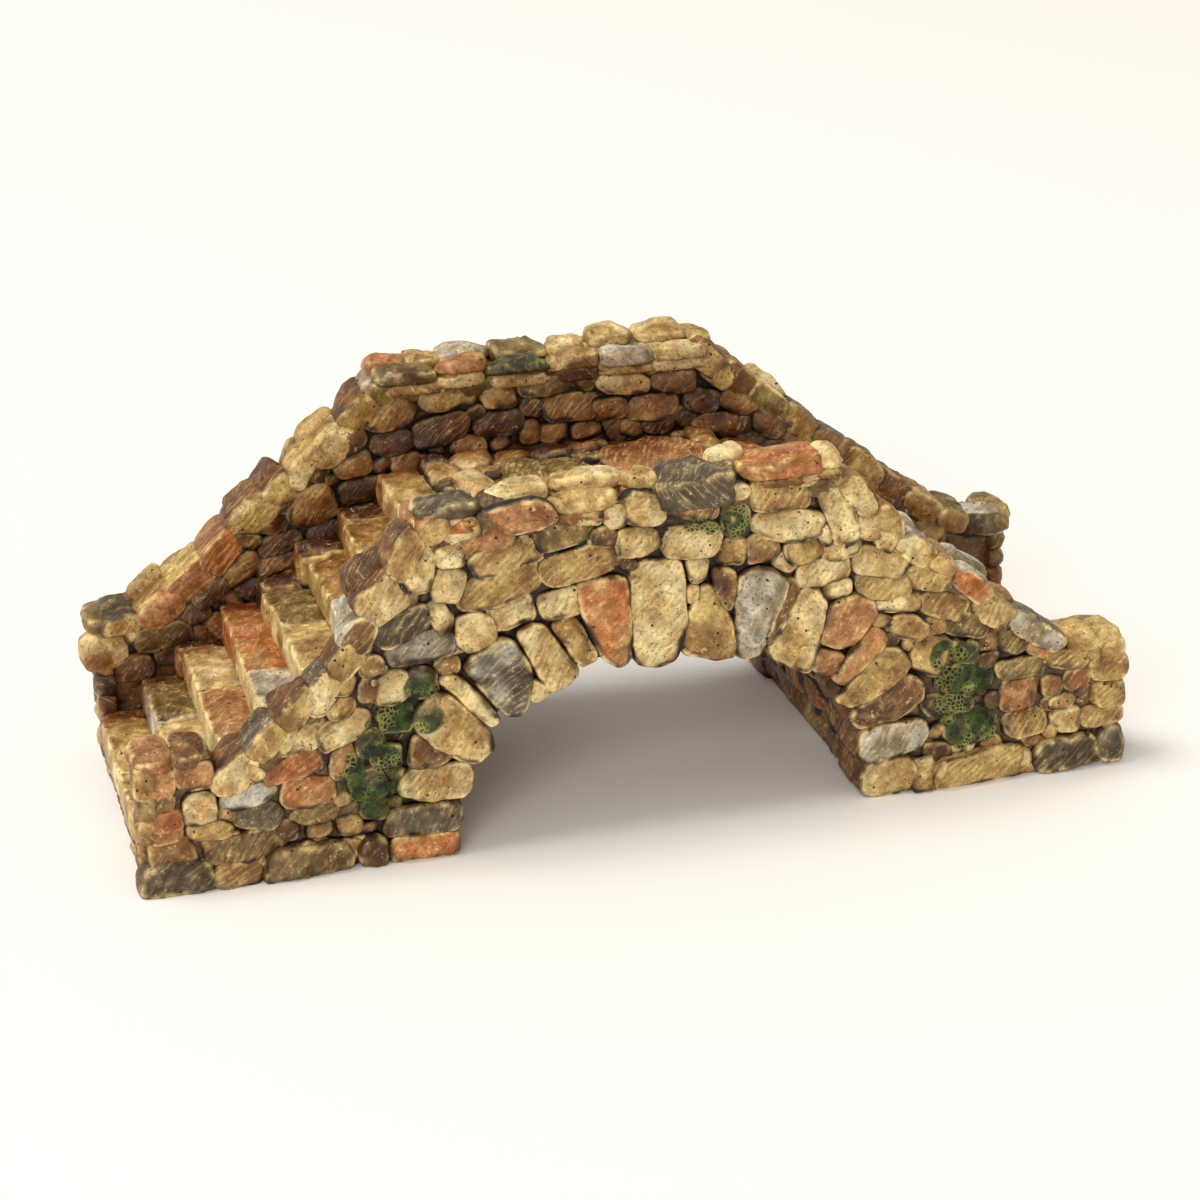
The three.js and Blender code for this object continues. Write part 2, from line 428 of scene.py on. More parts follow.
def chipped(face, outline, grain, seed, amount):
    """An outline at even spacing, anticlockwise, with small chips and bumps along it."""
    ring = spaced(outline, grain)
    if signed_area(ring) < 0:
        ring = ring[::-1]
    at = face.place(ring, np.zeros(len(ring)))
    bumps = 0.20 * noise(at, 1.7, seed + 30) + 0.17 * noise(at, 0.8, seed + 31)
    return ring + outward_of(ring) * (CROWDING + amount * bumps)[:, None]


def facets(offset, rng):
    """How far the chiselled flats of a face fall away from its plane."""
    flats, deepest = 5, 0.75
    fall = np.zeros(len(offset))
    for _ in range(flats):
        turn = rng.uniform(0, 2 * math.pi)
        reach = offset @ np.array([math.cos(turn), math.sin(turn)])
        start = rng.uniform(0.2, 0.85) * reach.max()
        fall = np.maximum(fall, rng.uniform(0.15, 0.75) * (reach - start))
    return np.minimum(fall, deepest)


def shoulder(guide, inset, fillet, seed):
    """The rounded shoulder of a face: how far it drops at each point, and each point's share on top."""
    reach = fillet * (0.85 + 0.55 * noise(guide, 1.8, seed))
    reach = np.minimum(reach, inset.max() * 0.9)
    share = np.clip(inset / reach, 0, 1)
    return reach * (1 - np.sqrt(np.maximum(0, 1 - (1 - share) ** 2))), smooth(share)


def small_relief(guide, seed, style, marks):
    """The dents, creases and file marks of a face, and the pits of a porous one."""
    dents = 0.42 * np.maximum(0, noise(guide, 1.5, seed + 4) - 0.3)
    creases = 0.16 * smooth(1 - 7 * np.abs(noise(guide, 2.6, seed + 3)))
    relief = 0.13 * noise(guide, 1.1, seed + 2) - dents - creases
    relief -= marks
    if "pitted" in style or "rough" in style:
        relief -= 0.36 * smooth(1.8 * (noise(guide, 0.8, seed + 6) - 0.2))
    if "rough" in style:
        relief += 0.36 * noise(guide, 1.4, seed + 8)
    return relief


def stone_sides(face, edge, edge_height, root, side_rows, side_rough, seed):
    """Rows of points from the edge of a face down to its root, with their heights and their bumps."""
    rows, row_heights, row_bumps = [], [], []
    outward = outward_of(edge)
    for level in np.linspace(0, 1, side_rows + 1)[1:]:
        row_height = edge_height * (1 - level) + root * level
        at = face.place(edge, row_height)
        bump = noise(at, 1.6, seed + 5) + 0.5 * noise(at, 0.9, seed + 6)
        swell = 0.16 * math.sin(math.pi * level) + side_rough * bump * math.sin(math.pi * min(level, 0.9))
        rows.append(edge + outward * swell[:, None])
        row_heights.append(row_height)
        row_bumps.append(bump)
    return rows, row_heights, row_bumps


def stone_faces(across, up, rim, side_rows):
    """The quads of a face and its sides, and the underside as one polygon."""
    faces = list(grid_quads(across, up))
    flat_count, side_count = (across + 1) * (up + 1), len(rim)
    loops = [rim] + [flat_count + k * side_count + np.arange(side_count) for k in range(side_rows)]
    for upper, lower in zip(loops[:-1], loops[1:]):
        next_upper, next_lower = np.roll(upper, -1), np.roll(lower, -1)
        faces.extend(np.stack([upper, lower, next_lower, next_upper], axis=1))
    faces.append(loops[-1][::-1])
    return faces


def lay_stone(piece, face, outline, colour, rng, top, root=-2.6, bury=-MORTAR_DEPTH, fillet=0.46, dome=0.22,
              lean=None, grain=None, style="", side_colour=None, side_rough=0.14):
    """One closed stone: a chiselled face over an outline, sides down to its root, and a flat underside.

    top and root are heights above the face's plane, and bury is the height of the mortar around the stone.
    """
    seed = int(rng.integers(1, 90000))
    grain = grain or GRAIN
    ring = chipped(face, outline, grain, seed, 1.0 if style in ("rough", "pitted") else 0.6)
    flat = patch_grid(ring, grain)
    across, up = flat.shape[0] - 1, flat.shape[1] - 1
    flat = flat.reshape(-1, 2)
    rim = border_indices(across, up)
    fine_ring = spaced(ring, grain / 2)
    inset = np.sqrt(((flat[:, None] - fine_ring[None]) ** 2).sum(axis=2).min(axis=1))
    inset[rim] = 0
    deepest = inset.max()
    guide = face.place(flat, np.full(len(flat), top))

    if lean is None:
        lean = rng.normal(0, 0.06, 2)
    drop, on_top = shoulder(guide, inset, fillet, seed)
    relief = -drop + dome * (1 - (1 - inset / deepest) ** 2) - dome
    offset = flat - ring.mean(axis=0)
    relief += offset @ lean - facets(offset, rng)
    hatching = rng.uniform(0.6, 1) if "hatched" in style else rng.uniform(0, 0.12)
    angle = rng.uniform(35, 65)
    mark = file_marks(flat, 0 * relief, angle, seed)[0]
    marks = 0.10 * hatching * np.maximum(0, np.sin(2 * math.pi * mark / MARK_SPACING))
    fine_relief = small_relief(guide, seed, style, marks)
    relief += on_top * (0.14 * rough_noise(guide, 2.6, seed + 1) + fine_relief)
    if "dish" in style:
        relief -= 0.55 * smooth((inset / deepest - 0.30) / 0.35)
    height = top + relief

    side_rows = max(2, int(round((top - fillet - root) / (grain * 1.25))))
    rows, row_heights, row_bumps = stone_sides(face, flat[rim], height[rim], root, side_rows, side_rough,
                                               seed)
    side_points = [face.place(row, row_height) for row, row_height in zip(rows, row_heights)]
    points = np.concatenate([face.place(flat, height)] + side_points)
    height_all = np.concatenate([height] + row_heights)
    inset_all = np.concatenate([inset] + [np.zeros(len(rim))] * side_rows)
    side_bump = np.concatenate([np.zeros(len(flat))] + row_bumps)
    on_face = np.arange(len(points)) < len(flat)

    paint = stone_paint(points, colour, seed)
    if side_colour:
        side_paint = stone_paint(points, side_colour, seed + 20)
        paint = np.where((on_face & (inset_all > 0.25))[:, None], paint, side_paint)
    if "dish" in style:
        warm = smooth((inset_all / deepest - 0.35) / 0.3)[:, None] * on_face[:, None]
        paint = paint * (1 - warm * 0.7) + PAINTS["orange"][1] * warm * 0.7

    low_places = smooth(-1.2 * side_bump) * side_rough / 0.35
    low_places[:len(flat)] = smooth(-fine_relief / 0.34) * on_top * (1.0 if style else 0.5)
    high_places = 0.6 * smooth(1.2 * side_bump)
    high_places[:len(flat)] = smooth(0.5 + fine_relief / 0.14) * on_top
    # brown paint wash and painted shade together: dark where the stone goes into the mortar, along its rim,
    # low on its face, in its dents and on its sides
    wash_and_shade = np.maximum(buried(points, height_all, bury, on_top),
                      rim_stain(points, face, flat, inset_all, bury, seed) * on_face)
    wash_and_shade = np.clip(wash_and_shade + 0.24 * low_places + np.where(on_face, 0.0, 0.08) + 0.32 * grime(points), 0, 1)
    wear = np.exp(-((inset_all - 0.45 * fillet) / (0.6 * fillet)) ** 2) * on_face
    wear *= smooth(0.60 + 0.9 * noise(points, 1.4, seed + 12))
    # the dry brush is kept out of the painted brown shade
    wear = np.maximum(wear, 0.25 * high_places) * (1 - 0.8 * shelter(points))
    pits = 0.35 + 0.35 * rng.uniform(0, 1) + (0.5 if "pitted" in style or "rough" in style else 0)
    marks = np.stack([wear, wash_and_shade, moss_amount(points), np.full(len(points), min(pits, 1))], axis=1)
    strokes = np.zeros((len(points), 4), np.float32)
    strokes[:, 0], strokes[:, 2] = file_marks(np.concatenate([flat] + rows), height_all, angle, seed)
    strokes[:, 1] = hatching

    points[:, 2] = np.maximum(points[:, 2], 0)
    piece.add(points, paint, marks, stone_faces(across, up, rim, side_rows), strokes)
    piece.outlines.append((face, fine_ring))


def buried(points, height, bury, on_top):
    """Dark wash and painted shade where the mortar covers a stone, less of it on the face and in the vault.
    """
    amount = smooth(1.3 - (height - bury) / 0.9)
    amount[:len(on_top)] *= 1 - 0.75 * on_top
    return amount * (1 - smooth((arch_height(points[:, 0], INTRADOS, 1.8) - points[:, 2]) / 0.9))


def rim_stain(points, face, flat, inset, bury, seed):
    """Dark wash and painted shade along the edge of a face, most of it low down and less if the stone is
    clear of mortar.
    """
    middle = points[:len(flat)].mean(axis=0)
    below = smooth(0.5 - 0.9 * ((points - middle) @ face.up) / max(np.ptp(flat[:, 1]), 1))
    patches = smooth(0.5 + 1.3 * noise(points, 2.2, seed + 9)) * smooth(1.1 - inset / 1.3)
    patches *= 0.3 + 0.7 * below
    rim_shade_wash = smooth(1 - inset / 0.46) * (0.55 + 0.45 * below)
    return np.maximum(patches, rim_shade_wash) * (0.3 if bury < CLEAR_OF_MORTAR else 1.0)


# ---------------------------------------------------------------- mortar

def near_outlines(points, face, outlines):
    """Distance of each point on a face's plane to the closest stone outline."""
    rings = [ring for owner, ring in outlines if owner is face]
    if not rings:
        return np.full(len(points), 9.0)
    cloud = np.concatenate(rings)
    tree = kdtree.KDTree(len(cloud))
    for k, (u, v) in enumerate(cloud):
        tree.insert((u, v, 0), k)
    tree.balance()
    return np.array([tree.find((u, v, 0))[2] for u, v in points])


def mortar_marks(points, gap):
    """Wear, dark wash with painted shade that is darkest next to a stone, moss and pits of mortar that is
    gap away from the nearest stone.
    """
    wash_and_shade = 0.16 + 0.95 * smooth(1.1 - gap / 0.8) + 0.3 * grime(points)
    wash_and_shade *= 0.85 + 0.3 * noise(points, 1.7, 77)
    wash_and_shade *= 1 - 0.4 * smooth((22 - points[:, 2]) / 8) * (np.abs(points[:, 0]) > 44)
    wear = 0.18 * smooth(rough_noise(points, 0.9, 78))
    return np.stack([wear, np.clip(wash_and_shade, 0, 1), moss_amount(points), np.full(len(points), 0.6)], axis=1)


def mortar_paint(points):
    share = smooth(0.5 + 0.8 * rough_noise(points, 2.6, 70, 2))[:, None]
    # painted brown shade in the sheltered parts, as on the stones
    shade_amount = shelter(points)[:, None]
    return (MORTAR_PAINT[0] * (1 - share) + MORTAR_PAINT[1] * share) * (1 - shade_amount + shade_amount * SHADE_BROWN)


def wall_mortar(piece, outlines, top_line, front_face, back_face):
    """The mortar plate of one wall, behind its two faces: rough on both and open under the arch."""
    step = GRAIN * 1.9
    count_x = int(2 * (END_X - 0.6) / step)
    count_z = int(48 / step)
    x = np.linspace(-END_X + 0.6, END_X - 0.6, count_x + 1)
    low = arch_height(x, INTRADOS, 1.4)
    high = top_line(x) - 1.4
    fraction = np.linspace(0, 1, count_z + 1)
    grid_x = np.repeat(x[:, None], count_z + 1, axis=1)
    grid_z = low[:, None] + (high - low)[:, None] * fraction[None]
    index_faces, all_points, all_gaps = [], [], []
    for number, (face, way) in enumerate(((front_face, -1), (back_face, 1))):
        y = face.origin[1] - way * MORTAR_DEPTH
        points = np.stack([grid_x, np.full_like(grid_x, y), grid_z], axis=-1).reshape(-1, 3)
        rough = 0.24 * rough_noise(points, 1.9, 61 + number) + 0.12 * noise(points, 0.7, 65 + number)
        points[:, 1] += way * rough
        u = points[:, 0] * face.across[0]
        gaps = near_outlines(np.stack([u, points[:, 2]], axis=1), face, outlines)
        all_points.append(points)
        all_gaps.append(gaps)
        index_faces.append(grid_quads(count_x, count_z, number * len(points), flip=number == 1))
    size = len(all_points[0])
    rim = border_indices(count_x, count_z)
    following = np.roll(rim, -1)
    skirt = np.stack([rim, rim + size, following + size, following], axis=1)
    points = np.concatenate(all_points)
    faces = list(np.concatenate(index_faces)) + list(skirt)
    piece.add(points, mortar_paint(points), mortar_marks(points, np.concatenate(all_gaps)), faces)


def extruded_mortar(piece, loop, front, back, step):
    """A rough-skinned bar whose outline is a closed loop in the X-Z plane, from y = front to y = back."""
    ring = spaced(np.array(loop, float), step)
    if signed_area(ring) < 0:
        ring = ring[::-1]
    count = len(ring)
    rows = max(2, int(round((back - front) / step)))
    y = np.linspace(front, back, rows + 1)
    points = np.stack([np.repeat(ring[None, :, 0], rows + 1, 0), np.repeat(y[:, None], count, 1),
                       np.repeat(ring[None, :, 1], rows + 1, 0)], axis=-1)
    rough = 0.22 * rough_noise(points, 2.0, 81) + 0.1 * noise(points, 0.8, 85)
    on_floor = ring[None, :, 1] < 0.05
    rough = np.where(on_floor, 0, rough)
    outward = outward_of(ring)
    points[..., 0] += rough * outward[None, :, 0]
    points[..., 2] += rough * outward[None, :, 1]
    points[..., 2] = np.maximum(points[..., 2], 0)
    index = np.arange((rows + 1) * count).reshape(rows + 1, count)
    following = np.roll(index, -1, axis=1)
    quads = np.stack([index[:-1], index[1:], following[1:], following[:-1]], axis=-1).reshape(-1, 4)
    points = points.reshape(-1, 3)
    gap = np.full(len(points), 1.0)
    piece.add(points, mortar_paint(points), mortar_marks(points, gap), [*quads, index[0], index[-1][::-1]])


# ---------------------------------------------------------------- the seen masonry
# Stones of a wall face: x, z of the middle, length, height, tilt in degrees, and colour with surface.

FRONT_STONES = [
    # left end post
    (-72.6, 17.2, 5.4, 4.4, -5, "pink dish"), (-67, 17.8, 5.6, 3.6, 0, "pink"),
    (-72.3, 13.9, 4.2, 2.2, 0, "brown"), (-71.8, 11.2, 5.2, 3, 0, "orange"),
    (-71.5, 8.9, 4.4, 2, 0, "orange"), (-66.4, 12.6, 4.4, 4.6, 0, "cream dish"),
    (-64.9, 9, 6.6, 2.4, 0, "tan"), (-70.8, 6.3, 6.2, 4.6, 0, "tan"),
    # left abutment
    (-63.5, 6.6, 5, 2.4, 4, "tan"), (-60.2, 5.6, 11.5, 4, 9, "olive hatched"),
    (-59.4, 13.5, 8.2, 2.8, 5, "grey"), (-58.3, 10.2, 6.6, 3.4, -5, "dark"),
    (-53, 17, 9.2, 3.6, 8, "orange hatched"), (-50.8, 12.8, 7.8, 4.2, -8, "orange hatched"),
    (-50.3, 9.3, 7, 2.6, 3, "olive"), (-49.6, 6.7, 3.4, 1.8, 0, "tan"), (-45.2, 6.7, 3.4, 2.4, 0, "tan"),
    (-45.2, 16.7, 4.4, 5.4, 0, "orange pitted"), (-54.5, 7.3, 3.4, 2.4, 0, "brown"),
    (-62.8, 11.4, 2.6, 2.2, 0, "tan"), (-37.8, 22.8, 5.4, 4.2, 0, "green pitted"),
    (-41.5, 19.3, 4.2, 3.4, 20, "green rough"), (-42.2, 12.8, 5.2, 5, 0, "green rough"),
    (-39.4, 17, 4.2, 3.4, 0, "green rough"), (-41.3, 8.9, 3.8, 2.8, 0, "brown rough"),
    # under the left slope
    (-51.3, 21.3, 8.2, 3.6, 26, "cream pitted"), (-45.5, 21.9, 8.2, 3.6, 18, "cream"),
    (-45.6, 25.2, 4.2, 2.4, 12, "tan"), (-41.3, 27.5, 3.2, 3.2, 0, "brown rough"),
    (-38.2, 27.4, 5.6, 4.6, 0, "cream"), (-33.8, 27.6, 4.4, 4.2, 0, "dark pitted"),
    (-41, 31, 3.4, 3, 30, "tan rough"),
    # left of the crown
    (-34, 45.3, 4.8, 7.4, -12, "cream rough"), (-28, 50, 6.2, 3.8, 8, "cream"),
    (-29.3, 46.6, 4, 3, 0, "cream pitted"), (-29.6, 42.2, 4.4, 5.2, -8, "cream"),
    (-30.9, 37.6, 5, 2.8, -58, "cream"), (-36.4, 36.6, 9, 4, 18, "dark hatched"),
    (-33.2, 33, 12.2, 4.4, 8, "slate hatched"), (-25.7, 34.6, 5.6, 5.4, 12, "cream"),
    (-20.4, 37, 6.8, 4.4, 14, "cream pitted"), (-13.4, 37.4, 6.2, 4.2, 8, "cream hatched"),
    (-22.1, 40.9, 12.2, 5, 12, "tan hatched"), (-20.8, 45.4, 11.2, 4, 9, "tan hatched"),
    (-24, 48, 8.8, 3.4, 10, "pink hatched"), (-19.3, 51, 11.2, 3.8, 6, "pink"),
    (-10.6, 43, 11.4, 4.8, 8, "tan hatched"), (-12.2, 48.3, 9, 4.8, 8, "olive"),
    (-9.3, 50.8, 4, 3.6, 0, "cream rough"), (-6.9, 46.6, 3.4, 2.8, 0, "brown rough"),
    (-5, 50, 3.2, 3.8, 0, "cream"), (-1.8, 45.6, 7, 4.2, -4, "cream hatched"),
    (-0.8, 50.3, 6.4, 4.4, -15, "cream rough"),
    # right of the crown
    (19.5, 49.9, 9.2, 4.2, -4, "tan hatched"), (20.8, 45.4, 11.2, 4.4, -8, "cream"),
    (22.7, 52.4, 6.6, 2.2, -4, "cream"), (28.6, 46.7, 11, 4.6, -74, "cream pitted"),
    (13, 47.2, 3.8, 5.2, 0, "cream rough"), (6.3, 44.7, 8.4, 4.8, 3, "cream hatched"),
    (12.4, 42.2, 4.8, 4, 0, "tan pitted"), (17, 42.2, 4.6, 4.2, 0, "tan pitted"),
    (23.5, 41.3, 5.8, 3.4, 10, "tan"), (20.6, 39.6, 3.6, 2.4, -35, "cream"), (29.3, 40.7, 6, 3, 8, "cream"),
    (26.6, 43.6, 2.2, 3.6, 20, "cream"), (26.7, 37.4, 8, 3.6, 6, "cream hatched"),
    (28.8, 34.4, 4.2, 2.2, 10, "cream"), (33.7, 43.6, 5, 4, -20, "cream"),
    (36.6, 41.8, 4, 4.4, -30, "cream"), (35.4, 38, 8.8, 4.2, -12, "cream"),
    (36.2, 34, 9, 3.8, -12, "tan hatched"), (38.3, 31, 7.8, 2.2, -2, "cream"),
    (42.8, 34.5, 8.2, 3.8, -16, "tan hatched"), (45.6, 29.8, 7.6, 3.6, -18, "tan hatched"),
    (44.2, 26.6, 3.2, 3, 0, "tan pitted"), (49.3, 26.2, 7.4, 3.4, -10, "olive hatched"),
    (44, 21.8, 6.6, 6.2, -20, "tan pitted"), (53, 23.3, 4.6, 3.2, -10, "brown rough"),
    (57, 22.6, 5.2, 3.4, -18, "olive hatched"), (61.5, 20.6, 4, 2.2, -15, "orange"),
    (49, 21.7, 4.6, 3.2, 0, "green rough"), (53.3, 19.8, 3.4, 2.2, 0, "brown rough"),
    # right abutment and end post
    (66.3, 18.5, 6.6, 2.6, -8, "tan hatched"), (58.6, 17.9, 8.4, 3.2, 4, "olive hatched"),
    (49.6, 17, 9.4, 4.8, 5, "green pitted"), (50.6, 9.6, 9.2, 5.4, 0, "green pitted"),
    (48.2, 13.4, 5.6, 2.4, 0, "green rough"), (44.6, 13.6, 3, 3, 0, "dark rough"),
    (58.4, 13.5, 6.2, 5, 5, "pink pitted"), (63.8, 14.2, 3, 2.8, 0, "pink dish"),
    (67.9, 14.6, 4.2, 3.4, 5, "pink hatched"), (65.6, 11.5, 4.4, 1.9, 5, "cream"),
    (59.5, 8.6, 7.8, 3.8, 5, "tan pitted hatched"), (66.3, 8.2, 4.4, 3.8, 4, "cream dish"),
    (54.4, 13.2, 2.4, 2, 0, "brown"), (70, 18.4, 3.6, 3, -8, "tan"), (73, 16.3, 5.8, 4.2, 0, "tan hatched"),
    (73.6, 11.6, 5.2, 4, 0, "tan hatched"), (72.3, 8.2, 6.6, 2.6, 2, "tan hatched"),
    (45.4, 6, 4, 2.4, 0, "brown rough"),
]

# The lowest course, which stands out from the wall.
FRONT_FOOTING = [
    (-70.4, 2, 10.6, 5.4, -3, "dark pitted"), (-61.6, 1.6, 7.4, 4.2, 6, "tan hatched"),
    (-51, 2.2, 14, 5.6, 2, "olive rough"), (-41.9, 2.2, 4.2, 4.6, 0, "brown rough"),
    (52.5, 2.3, 15.6, 5.4, 3, "tan hatched"), (66.3, 2.9, 10.6, 5, 2, "dark hatched"),
    (74, 3.2, 4.2, 5.8, 0, "dark"), (43, 1.4, 4, 2.8, 0, "tan rough"),
]

# Coping stones that run through the wall on its slopes. The last colour is that of their tops.
FRONT_SLOPE_COPING = [
    (-61.2, 17, 7.6, 4.2, 38, "cream", "brown"), (-56.4, 21.4, 6.6, 3.8, 44, "tan", "dark"),
    (-51.8, 25.7, 6.4, 3.4, 40, "tan rough", "brown"), (-48, 28, 7.8, 3.6, 48, "cream pitted", "dark"),
    (-44.4, 32.6, 6, 3.6, 50, "tan rough", "brown"), (-42.6, 36.2, 5.2, 3.8, 62, "brown hatched", "grey"),
    (-38.4, 41.2, 8.8, 5.4, 30, "cream hatched", "brown"),
    (-35.6, 47.2, 6.4, 3.6, 55, "tan rough", "brown"), (-31.4, 50.6, 4.6, 3.4, 30, "tan", "pink"),
    (31.8, 48.5, 7.4, 3.2, -53, "cream pitted", "tan"), (36.4, 44.2, 5, 3, -48, "tan", "tan"),
    (40.8, 39, 6.4, 3.6, -36, "cream pitted", "grey"), (45.2, 36.2, 4.4, 2.6, -40, "tan", "tan"),
    (50, 32.4, 7.6, 3, -38, "orange", "grey"), (54, 27.4, 8.2, 3.4, -30, "cream hatched", "tan"),
    (60.8, 23.6, 10, 3.2, -34, "grey", "dark"),
]

# Caps on the level part of the front wall: low x, high x, low y, high y, top z, colour with surface, and the
# thickness of a cap that is one block.
FRONT_CAPS = [
    (-33.4, -24.6, -27, -19.4, 54.2, "dark"), (-24.2, -19.4, -23.2, -18.6, 53.2, "brown"),
    (-22.4, -13.2, -22.8, -18.2, 54, "cream"), (-12.6, -2.6, -22.4, -18.2, 54.9, "cream"),
    (-14.6, -4.4, -27.4, -22.8, 53.6, "tan rough"), (-2.6, 2, -24.8, -18.6, 54.7, "cream rough"),
    (1.4, 13.2, -28.7, -18.8, 55.1, "dark hatched", 4.8), (10.6, 15.6, -22, -18.2, 56.2, "cream rough"),
    (14.6, 26.2, -27.4, -18.4, 55.8, "orange"), (25.4, 28.8, -27.6, -22.6, 56.3, "cream"),
    (25.6, 29.4, -22.6, -18.4, 54.8, "tan"), (-19.6, -14.4, -27.6, -23.2, 52.9, "pink"),
]

# Front ring, from the left foot to the keystone and down to the right foot: the end of the CAD node's name,
# then its stones, each with its colour, its surface and its corners.
FRONT_RING = {
    "ring_stone_01": [
        ("orange", (-39.2, 0), (-29.5, 0), (-29.3, 3.7), (-38.8, 3.9), (-39.4, 2)),
        ("dark hatched", (-40.4, 4.3), (-29.6, 3.9), (-28.7, 5.6), (-28.8, 8.2), (-39.2, 8.6))],
    "ring_stone_02": [
        ("cream hatched", (-38, 10.6), (-34.2, 9.3), (-28.4, 8.7), (-27.1, 9.6), (-26.8, 12.6),
         (-27.6, 14.3), (-36.4, 14.8)),
        ("brown rough", (-36.4, 15.2), (-31.4, 15.1), (-29.6, 15.9), (-32.6, 18.9), (-35.6, 19.6))],
    "ring_stone_03": [
        ("cream", (-35.4, 20.8), (-31.4, 16.8), (-28, 14.7), (-25.8, 14.3), (-23.8, 15.8), (-23.8, 18),
         (-26.2, 21.4), (-29.8, 25.3), (-32.2, 26), (-34.9, 23.2)),
        ("cream", (-31.4, 27.6), (-29.6, 26), (-26.4, 22.2), (-23.9, 19.6), (-22.6, 20.4), (-25.8, 24.9),
         (-29.2, 28.6))],
    "ring_stone_04": [
        ("slate pitted hatched", (-28.1, 29.5), (-24.4, 24.6), (-21.6, 21), (-19.4, 20.5), (-18.2, 23),
         (-17.9, 28), (-20.8, 32.8), (-22.8, 33))],
    "ring_stone_05": [
        ("cream hatched", (-19.9, 33.8), (-15.2, 23.7), (-13.7, 23.8), (-10.7, 25.7), (-11.2, 27.4),
         (-15.8, 34.2), (-17.6, 34.8)),
        ("cream", (-17.8, 26.5), (-17.9, 22.9), (-16.8, 22.4), (-15.1, 23.3), (-15.4, 24.4))],
    "ring_stone_06": [
        ("tan pitted", (-14.9, 34.3), (-10.3, 27.3), (-8.1, 27.9), (-8.3, 29.2), (-11, 34.9), (-13, 35.2))],
    "ring_stone_07": [
        ("orange", (-10.9, 40.2), (-10.6, 36.6), (-7, 28), (-4.6, 26.4), (-3.1, 27.4), (-3.1, 40.6))],
    "keystone": [
        ("cream hatched", (-2.9, 42.3), (-2.4, 26.6), (0.6, 26.1), (3.5, 26.6), (5.2, 31.1), (5.1, 42.1))],
    "ring_stone_09": [
        ("tan pitted", (8.4, 37.6), (5.4, 33), (4.5, 28.6), (5.4, 27.1), (9.4, 26.3), (12.9, 25.8),
         (12.6, 30.6), (9.8, 36.7)),
        ("cream", (5.6, 42.1), (6.2, 38.2), (8.2, 38.3), (9.2, 41.8)),
        ("brown rough", (9.6, 39.9), (10, 36.4), (11.8, 33.2), (12.6, 36.6), (12.7, 39.4)),
        ("tan", (5.8, 37.6), (5.9, 34.7), (7.2, 36.2), (7, 37.8))],
    "ring_stone_10": [
        ("grey pitted", (13.3, 37.8), (12.9, 29.9), (13.2, 26.2), (14.6, 25), (16.9, 25.5), (18.2, 30.2),
         (20.9, 36.2), (18.4, 39.2), (14.6, 39)),
        ("brown", (20.9, 36.8), (18.9, 32.2), (17.5, 27.2), (18.4, 27.4), (22.2, 33.7), (23.1, 36.4))],
    "ring_stone_11": [
        ("cream", (23.4, 35.1), (18.3, 27), (18.6, 24.7), (22, 22.9), (24.4, 21.8), (25.6, 24),
         (26.9, 32.2), (25.4, 35.1))],
    "ring_stone_12": [
        ("pink", (27.4, 31), (26, 26.3), (29.2, 25), (32, 25.8), (34.8, 30), (34.2, 32), (31.4, 33.4),
         (28.6, 32.8)),
        ("pink", (25.9, 25), (25, 22.1), (27.4, 20.9), (28.6, 20.9), (29.9, 23.6), (29.4, 24.2))],
    "ring_stone_13": [
        ("orange", (34.6, 28.2), (30.2, 22.9), (28.3, 20.2), (29.8, 18.9), (35.2, 23.9), (36.6, 26)),
        ("tan", (30.2, 18.2), (28.9, 16.6), (30.8, 15.1), (36.4, 17.6), (40.8, 20.8), (38.6, 23.7),
         (36, 24.1))],
    "ring_stone_14": [
        ("brown", (32.2, 14.7), (31, 13), (32.6, 11.6), (38, 12.2), (42.6, 15.4), (42.4, 18), (39.4, 19.5),
         (35, 16.6))],
    "ring_stone_15": [
        ("grey hatched", (32.6, 11.1), (32.7, 6.6), (34.4, 5.3), (38, 6.3), (42.8, 7.2), (44, 9.6),
         (42.6, 11.6), (37, 11.9))],
    "ring_stone_16": [
        ("cream", (33, 1.2), (35.2, 0), (41.2, 0.2), (41.8, 3.6), (40.8, 5.6), (36, 6), (33.6, 4.6))],
}

# Left treads, from the foot up: blocks as (low y, high y, colour, colour of the risers).
LEFT_TREADS = [
    [(-18.6, -4.6, "tan", "tan"), (-4.2, 18.6, "tan", "cream")],
    [(-18.6, -12.4, "tan", "cream"), (-12, 1, "cream", "cream"), (1.4, 18.6, "olive", "grey")],
    [(-18.6, 0, "pink", "cream"), (0.5, 15.6, "cream", "cream"), (16, 18.6, "brown", "tan")],
    [(-18.6, -7.6, "grey", "cream"), (-7.2, 5, "orange", "cream"), (5.4, 18.6, "orange", "orange")],
    [(-18.6, -2.8, "tan", "cream"), (-2.4, 13.2, "olive", "cream"), (13.6, 18.6, "brown", "brown")],
    [(-18.6, -6, "grey", "grey"), (-5.4, 12, "ochre", "tan"), (12.4, 18.6, "brown", "tan")],
    [(-18.6, -3.6, "orange", "cream"), (-3.2, 11.6, "ochre", "tan"), (12, 18.6, "brown", "tan")],
    [(-18.6, 4.4, "grey", "grey"), (4.8, 18.6, "tan", "cream")],
]

